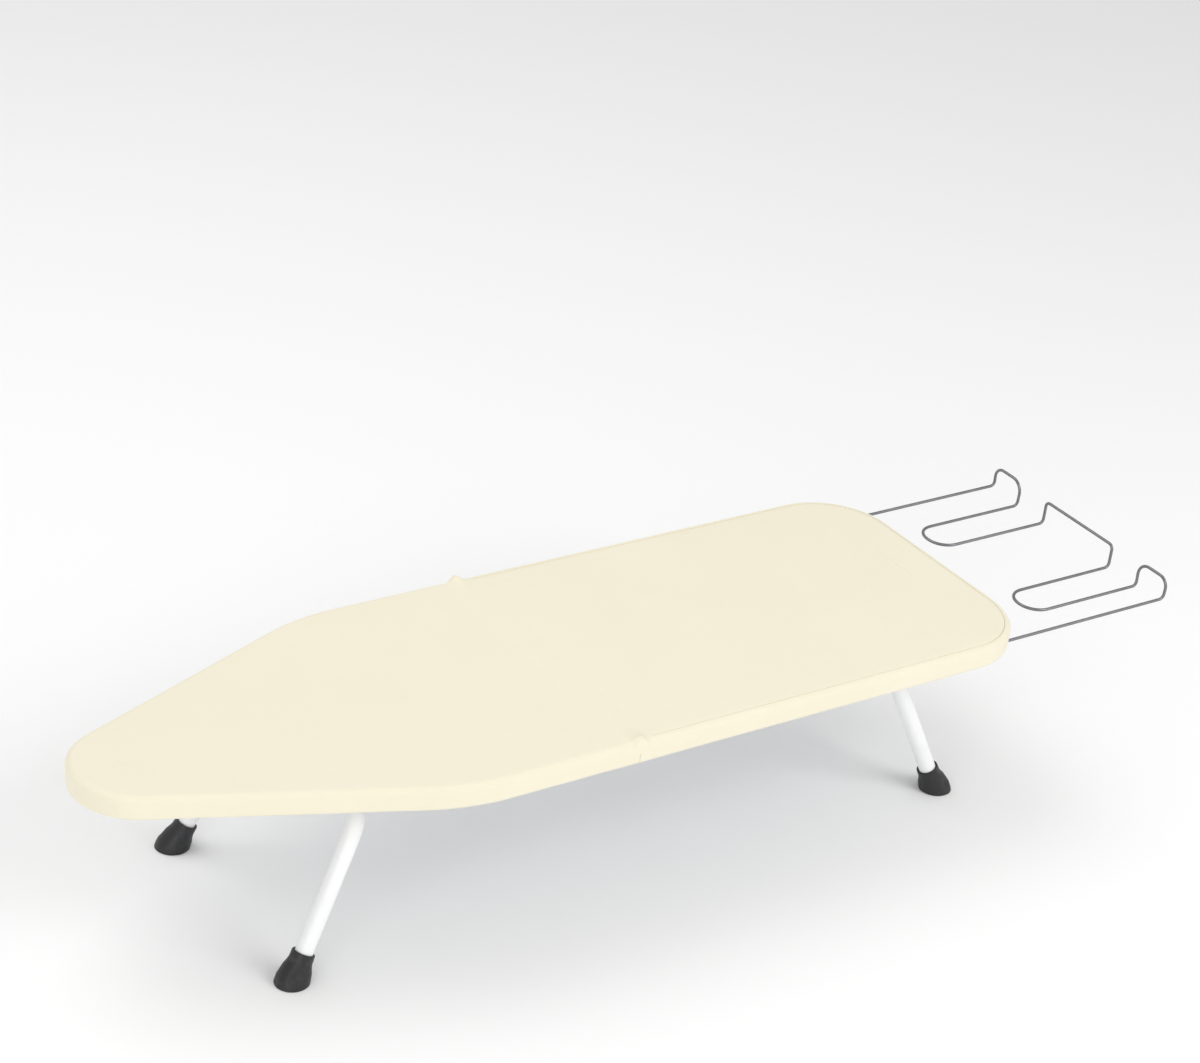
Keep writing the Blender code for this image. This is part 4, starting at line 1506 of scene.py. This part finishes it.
@dataclass(frozen=True)
class LegLoop:
    """Bent tube leg and its two rubber boots, leaning outwards from the pivot."""

    name: str
    body: Body
    pivot: Vector
    sign: int
    tube_radius: float = 0.00795
    lean: float = radians(25)
    bend: float = 0.048
    shoulder_y: float = 0.093
    shoulder_inset: float = 0.0035
    foot_y: float = 0.109
    tube_stop: float = 0.011
    boot_wall: float = 0.0022
    sole_bevel: float = 0.0006
    dimple_down: float = 0.0045
    dimple_out: float = 0.0135
    dimple_half_height: float = 0.0085
    dimple_half_width: float = 0.0065
    dimple_depth: float = 0.00256

    def place(self, across: float, down: float) -> Vector:
        """A point in the leg's leaning plane."""
        outwards = self.sign * down * sin(self.lean)
        return self.pivot + Vector((outwards, across, -down * cos(self.lean)))

    def build(self, finishes: Finishes) -> None:
        """Make the tube and the boots.

        Args:
            finishes: The board's finishes.
        """
        drop = self.pivot.z / cos(self.lean)
        tube_drop = drop - self.tube_stop
        splay = (self.foot_y - self.shoulder_y) / (drop - self.bend)
        end_y = self.shoulder_y + splay * (tube_drop - self.bend)
        corner = self.shoulder_y - self.shoulder_inset
        corners = [self.place(end_y, tube_drop), self.place(corner, 0), self.place(-corner, 0),
                   self.place(-end_y, tube_drop)]
        tube = bent_rod(f"{self.name}_leg_loop", corners, [self.bend, self.bend], self.tube_radius,
                        sides=32, steps=20)
        fit(tube, self.body, finishes.paint, "white_paint", f"{self.name}_leg_tube")
        blank = turned(f"{self.name}_boot_blank", self.boot_profile(), 40, 40.0)
        for side in Side:
            end = self.place(side.value * end_y, tube_drop)
            along = self.place(side.value * (end_y + splay), tube_drop + 1) - end
            boot = copy_of(blank, f"{self.name}_rubber_boot_{side.label}")
            self._finish_boot(boot, side, end, along.normalized())
            fit(boot, self.body, finishes.rubber, "black_rubber", f"{self.name}_foot_{side.label}")
        scrap(blank)

    def boot_profile(self) -> list[Pair]:
        """Outline of a boot, from inside its mouth to past its sole.

        Returns:
            The radius of each ring and its distance past the tube's end.
        """
        tube, collar = self.tube_radius, self.tube_radius + self.boot_wall
        mouth = [(tube + 0.0002, -0.0120), (tube + 0.0003, -0.0158)]
        lip = [(collar - 0.0006, -0.0160), (collar, -0.0155), (collar + 0.0002, -0.0120)]
        flare = [(collar + 0.0003, -0.0085), (collar + 0.0012, -0.0050), (collar + 0.0028, -0.0010),
                 (0.0142, 0.0050), (0.0148, 0.0078)]
        heel = [(0.0150, 0.0090), (0.0150, 0.0120), (0.0149, 0.0150)]
        toe = [(0.0140, 0.0205), (0.0120, 0.0262), (0.0070, 0.0285), (0.0020, 0.0290)]
        return mouth + lip + flare + heel + toe

    def _finish_boot(self, boot: bpy.types.Object, side: Side, end: Vector, along: Vector) -> None:
        """Push a blank boot on the tube, dimple it and cut its sole flat on the table.

        Args:
            boot: The blank boot, at the origin.
            side: The side of the board that it is on.
            end: Where the tube ends.
            along: The direction of the tube there.
        """
        stand(boot, end, along)
        self._dimple(boot, side, end, along)
        edit(boot)
        bpy.ops.mesh.bisect(plane_co=(0, 0, 0), plane_no=(0, 0, -1), use_fill=True, clear_outer=True,
                            clear_inner=False, threshold=MERGE)
        bpy.ops.object.mode_set(mode="OBJECT")
        close_up(boot, 38.0)
        bevel(boot, self.sole_bevel, 2, 50.0)
        close_up(boot, 38.0, fill=False)

    def _dimple(self, boot: bpy.types.Object, side: Side, end: Vector, along: Vector) -> None:
        """Press a shallow oval into the boot's side, facing outwards and sideways.

        Args:
            boot: The boot on its tube.
            side: The side of the board that it is on.
            end: Where the tube ends.
            along: The direction of the tube there.
        """
        outward = Vector((self.sign * 0.55, side.value * 0.85, 0))
        outward = (outward - along * outward.dot(along)).normalized()
        spot = end + along * self.dimple_down + outward * self.dimple_out
        for vertex in boot.data.vertices:
            offset = vertex.co - spot
            axial, depth = offset.dot(along), offset.dot(outward)
            around = (offset - along * axial - outward * depth).length
            reach = hypot(axial / self.dimple_half_height, around / self.dimple_half_width)
            if reach < 1 and abs(depth) < self.dimple_out:
                vertex.co -= outward * (self.dimple_depth * (1 - reach * reach) ** 2)


# ---------------------------------------------------------------------------
# Iron rest and latch
# ---------------------------------------------------------------------------


@dataclass(frozen=True)
class IronRest:
    """One bent wire with two sliding legs, two humps, two loops and a raised centre stop."""

    layout: Layout
    radius: float = 0.0015
    outer_y: float = 0.126
    hump_y: float = 0.089
    inner_y: float = 0.049
    loop_x: float = 0.500
    reach_x: float = 0.634
    tail_x: float = 0.352
    outer_drop: float = 0.0188
    inner_drop: float = 0.0238
    hump_height: float = 0.026
    hump_lean: float = 0.001
    arch_height: float = 0.024
    foot_bend: float = 0.005
    hump_bend: float = 0.018
    loop_bend: float = 0.0195
    guide_bevel: float = 0.0004

    def build(self, finishes: Finishes) -> None:
        """Bend the wire and refine its guides.

        Args:
            finishes: The board's finishes.
        """
        fold, top = self.layout.fold_x, self.layout.top
        high, low = top - self.outer_drop, top - self.inner_drop
        end, loop = fold + self.reach_x, fold + self.loop_x
        hump, arch = low + self.hump_height, low + self.arch_height
        half = [(fold + self.tail_x, self.outer_y, high), (end, self.outer_y, high),
                (end, self.outer_y + self.hump_lean, hump), (end, self.hump_y - self.hump_lean, hump),
                (end, self.hump_y, low), (loop, self.hump_y, low), (loop, self.inner_y, low),
                (end, self.inner_y, low), (end, self.inner_y, arch)]
        corners = half + [(along, -across, height) for along, across, height in reversed(half)]
        foot, hump_bend, loop_bend = self.foot_bend, self.hump_bend, self.loop_bend
        bends = [foot, hump_bend, hump_bend, foot, loop_bend, loop_bend, foot, foot]
        wire = bent_rod("iron_rest_bent_wire", corners, bends + bends[::-1], self.radius, 14, 8)
        fit(wire, Body.REST, finishes.wire, "steel_wire", "iron_rest_wire")
        for side in Side:
            node = f"rest_guide_{side.label}"
            guide = refined_node(node, f"rest_slide_guide_{side.label}", self.guide_bevel)
            fit(guide, Body.REAR, finishes.paint, "white_paint", node)


@dataclass(frozen=True)
class StorageLatch:
    """Wire bail with a moulded clip, hanging from its block under the rear half."""

    pivot: Vector
    radius: float = 0.0010
    span: float = 0.008
    reach: float = 0.049
    height: float = 0.050
    arm: float = 0.084
    bend: float = 0.0022
    clip_overlap: float = 0.0003
    hang: float = radians(193)
    clip_bevel: float = 0.0008
    block_bevel: float = 0.0004

    def hung(self, along: float, across: float, up: float) -> Vector:
        """A point of the latched shape, turned down to where it hangs."""
        return self.pivot + Matrix.Rotation(self.hang, 3, "Y") @ Vector((along, across, up))

    def build(self, finishes: Finishes) -> None:
        """Bend the bail and refine the clip and the block.

        Args:
            finishes: The board's finishes.
        """
        clip_x = self.reach - self.arm + self.clip_overlap
        half = [(clip_x, self.span, self.height), (self.reach, self.span, self.height),
                (self.reach, self.span, 0.0), (0.0, self.span, 0.0)]
        latched = half + [(along, -across, up) for along, across, up in reversed(half)]
        corners = [self.hung(*corner) for corner in latched]
        bends = [self.bend] * (len(corners) - 2)
        bail = bent_rod("latch_bent_bail", corners, bends, self.radius, 12, 6)
        fit(bail, Body.LATCH, finishes.wire, "steel_wire", "latch_bail_wire")
        clip = refined_node("latch_clip", "latch_moulded_clip", self.clip_bevel, 3)
        fit(clip, Body.LATCH, finishes.plastic, "black_plastic", "latch_clip")
        block = refined_node("latch_bracket", "latch_pivot_block", self.block_bevel)
        fit(block, Body.REAR, finishes.paint, "white_paint", "latch_bracket")


# ---------------------------------------------------------------------------
# Studio
# ---------------------------------------------------------------------------


@dataclass(frozen=True)
class Softbox:
    """Square soft light aimed at the board."""

    name: str
    place: Point
    size: float
    power: float

    def build(self, aim: Point) -> None:
        """Hang the light.

        Args:
            aim: The point that it faces.
        """
        data = bpy.data.lights.new(self.name, "AREA")
        data.shape = "SQUARE"
        data.size = self.size
        data.energy = self.power
        light = bpy.data.objects.new(self.name, data)
        bpy.context.scene.collection.objects.link(light)
        light.location = self.place
        facing = Vector(aim) - Vector(self.place)
        light.rotation_euler = facing.to_track_quat("-Z", "Y").to_euler()


@dataclass(frozen=True)
class Studio:
    """Camera, soft lights and a pale floor."""

    layout: Layout
    azimuth: float = radians(-37.08)
    elevation: float = radians(28.02)
    roll: float = radians(6.78)
    distance: float = 3.0733
    target: Point = (0.2675, 0.2952, 0.1)
    lens: float = 91.59
    aim: Point = (0.05, 0.0, 0.1)
    lights: tuple[Softbox, ...] = (Softbox("front_softbox", (1.3, -2.3, 2.0), 1.8, 36.0),
                                   Softbox("side_softbox", (-2.2, -1.7, 0.9), 1.4, 15.0),
                                   Softbox("back_softbox", (-0.8, 1.2, 2.4), 2.0, 19.0))
    air: float = 0.66
    floor_size: float = 30.0
    floor_drop: float = 0.0004

    def build(self) -> None:
        """Set up the stage."""
        self._camera()
        self._floor()
        for light in self.lights:
            light.build(self.aim)
        world = bpy.data.worlds.new("studio_air")
        world.use_nodes = True
        background = world.node_tree.nodes["Background"]
        background.inputs["Color"].default_value = (1.0, 1.0, 1.0, 1.0)
        background.inputs["Strength"].default_value = self.air
        bpy.context.scene.world = world
        bpy.context.scene.view_settings.view_transform = "Standard"

    def _camera(self) -> None:
        """Place the camera at the board's usual catalogue angle."""
        back = Vector((sin(self.azimuth) * cos(self.elevation),
                       -cos(self.azimuth) * cos(self.elevation), sin(self.elevation)))
        camera = bpy.data.objects.new("camera", bpy.data.cameras.new("camera"))
        bpy.context.scene.collection.objects.link(camera)
        camera.data.lens = self.lens
        target = Vector((self.layout.fold_x, 0, 0)) + Vector(self.target)
        camera.location = target + back * self.distance
        look = (-back).to_track_quat("-Z", "Y").to_matrix()
        camera.rotation_euler = (look @ Matrix.Rotation(self.roll, 3, "Z")).to_euler()
        camera.data.clip_start = 0.05
        camera.data.clip_end = 60.0
        bpy.context.scene.camera = camera

    def _floor(self) -> None:
        """Large sheet of pale paper."""
        clear_selection()
        bpy.ops.mesh.primitive_grid_add(x_subdivisions=8, y_subdivisions=8, size=self.floor_size,
                                        location=(0.0, 0.0, -self.floor_drop))
        floor = bpy.context.object
        floor.name = "studio_floor"
        dress(floor, Backdrop().make())


def main() -> None:
    logging.basicConfig(level=logging.INFO, format="%(message)s")
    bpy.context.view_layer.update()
    layout = Layout.from_frame()
    finishes = Finishes()
    rear = HalfShape(Body.REAR, 1, layout)
    nose = HalfShape(Body.NOSE, -1, layout)
    Studio(layout).build()
    for shape, leg_name in ((rear, "rear"), (nose, "front")):
        FeltPad(shape).build(finishes.felt)
        MeshDeck(shape).build(finishes.mesh_paint)
        HalfFrame(shape, leg_name).build(finishes)
        CoverHalf(shape).build(finishes.cotton)
    FoldPanel(layout).build(finishes.cotton)
    FoldHardware().build(finishes)
    LegLoop("rear", Body.REAR_LEGS, joint_place("rear_leg_pivot"), 1).build(finishes)
    LegLoop("front", Body.FRONT_LEGS, joint_place("front_leg_pivot"), -1).build(finishes)
    IronRest(layout).build(finishes)
    StorageLatch(joint_place("latch_swing")).build(finishes)


if __name__ == "__main__":
    main()
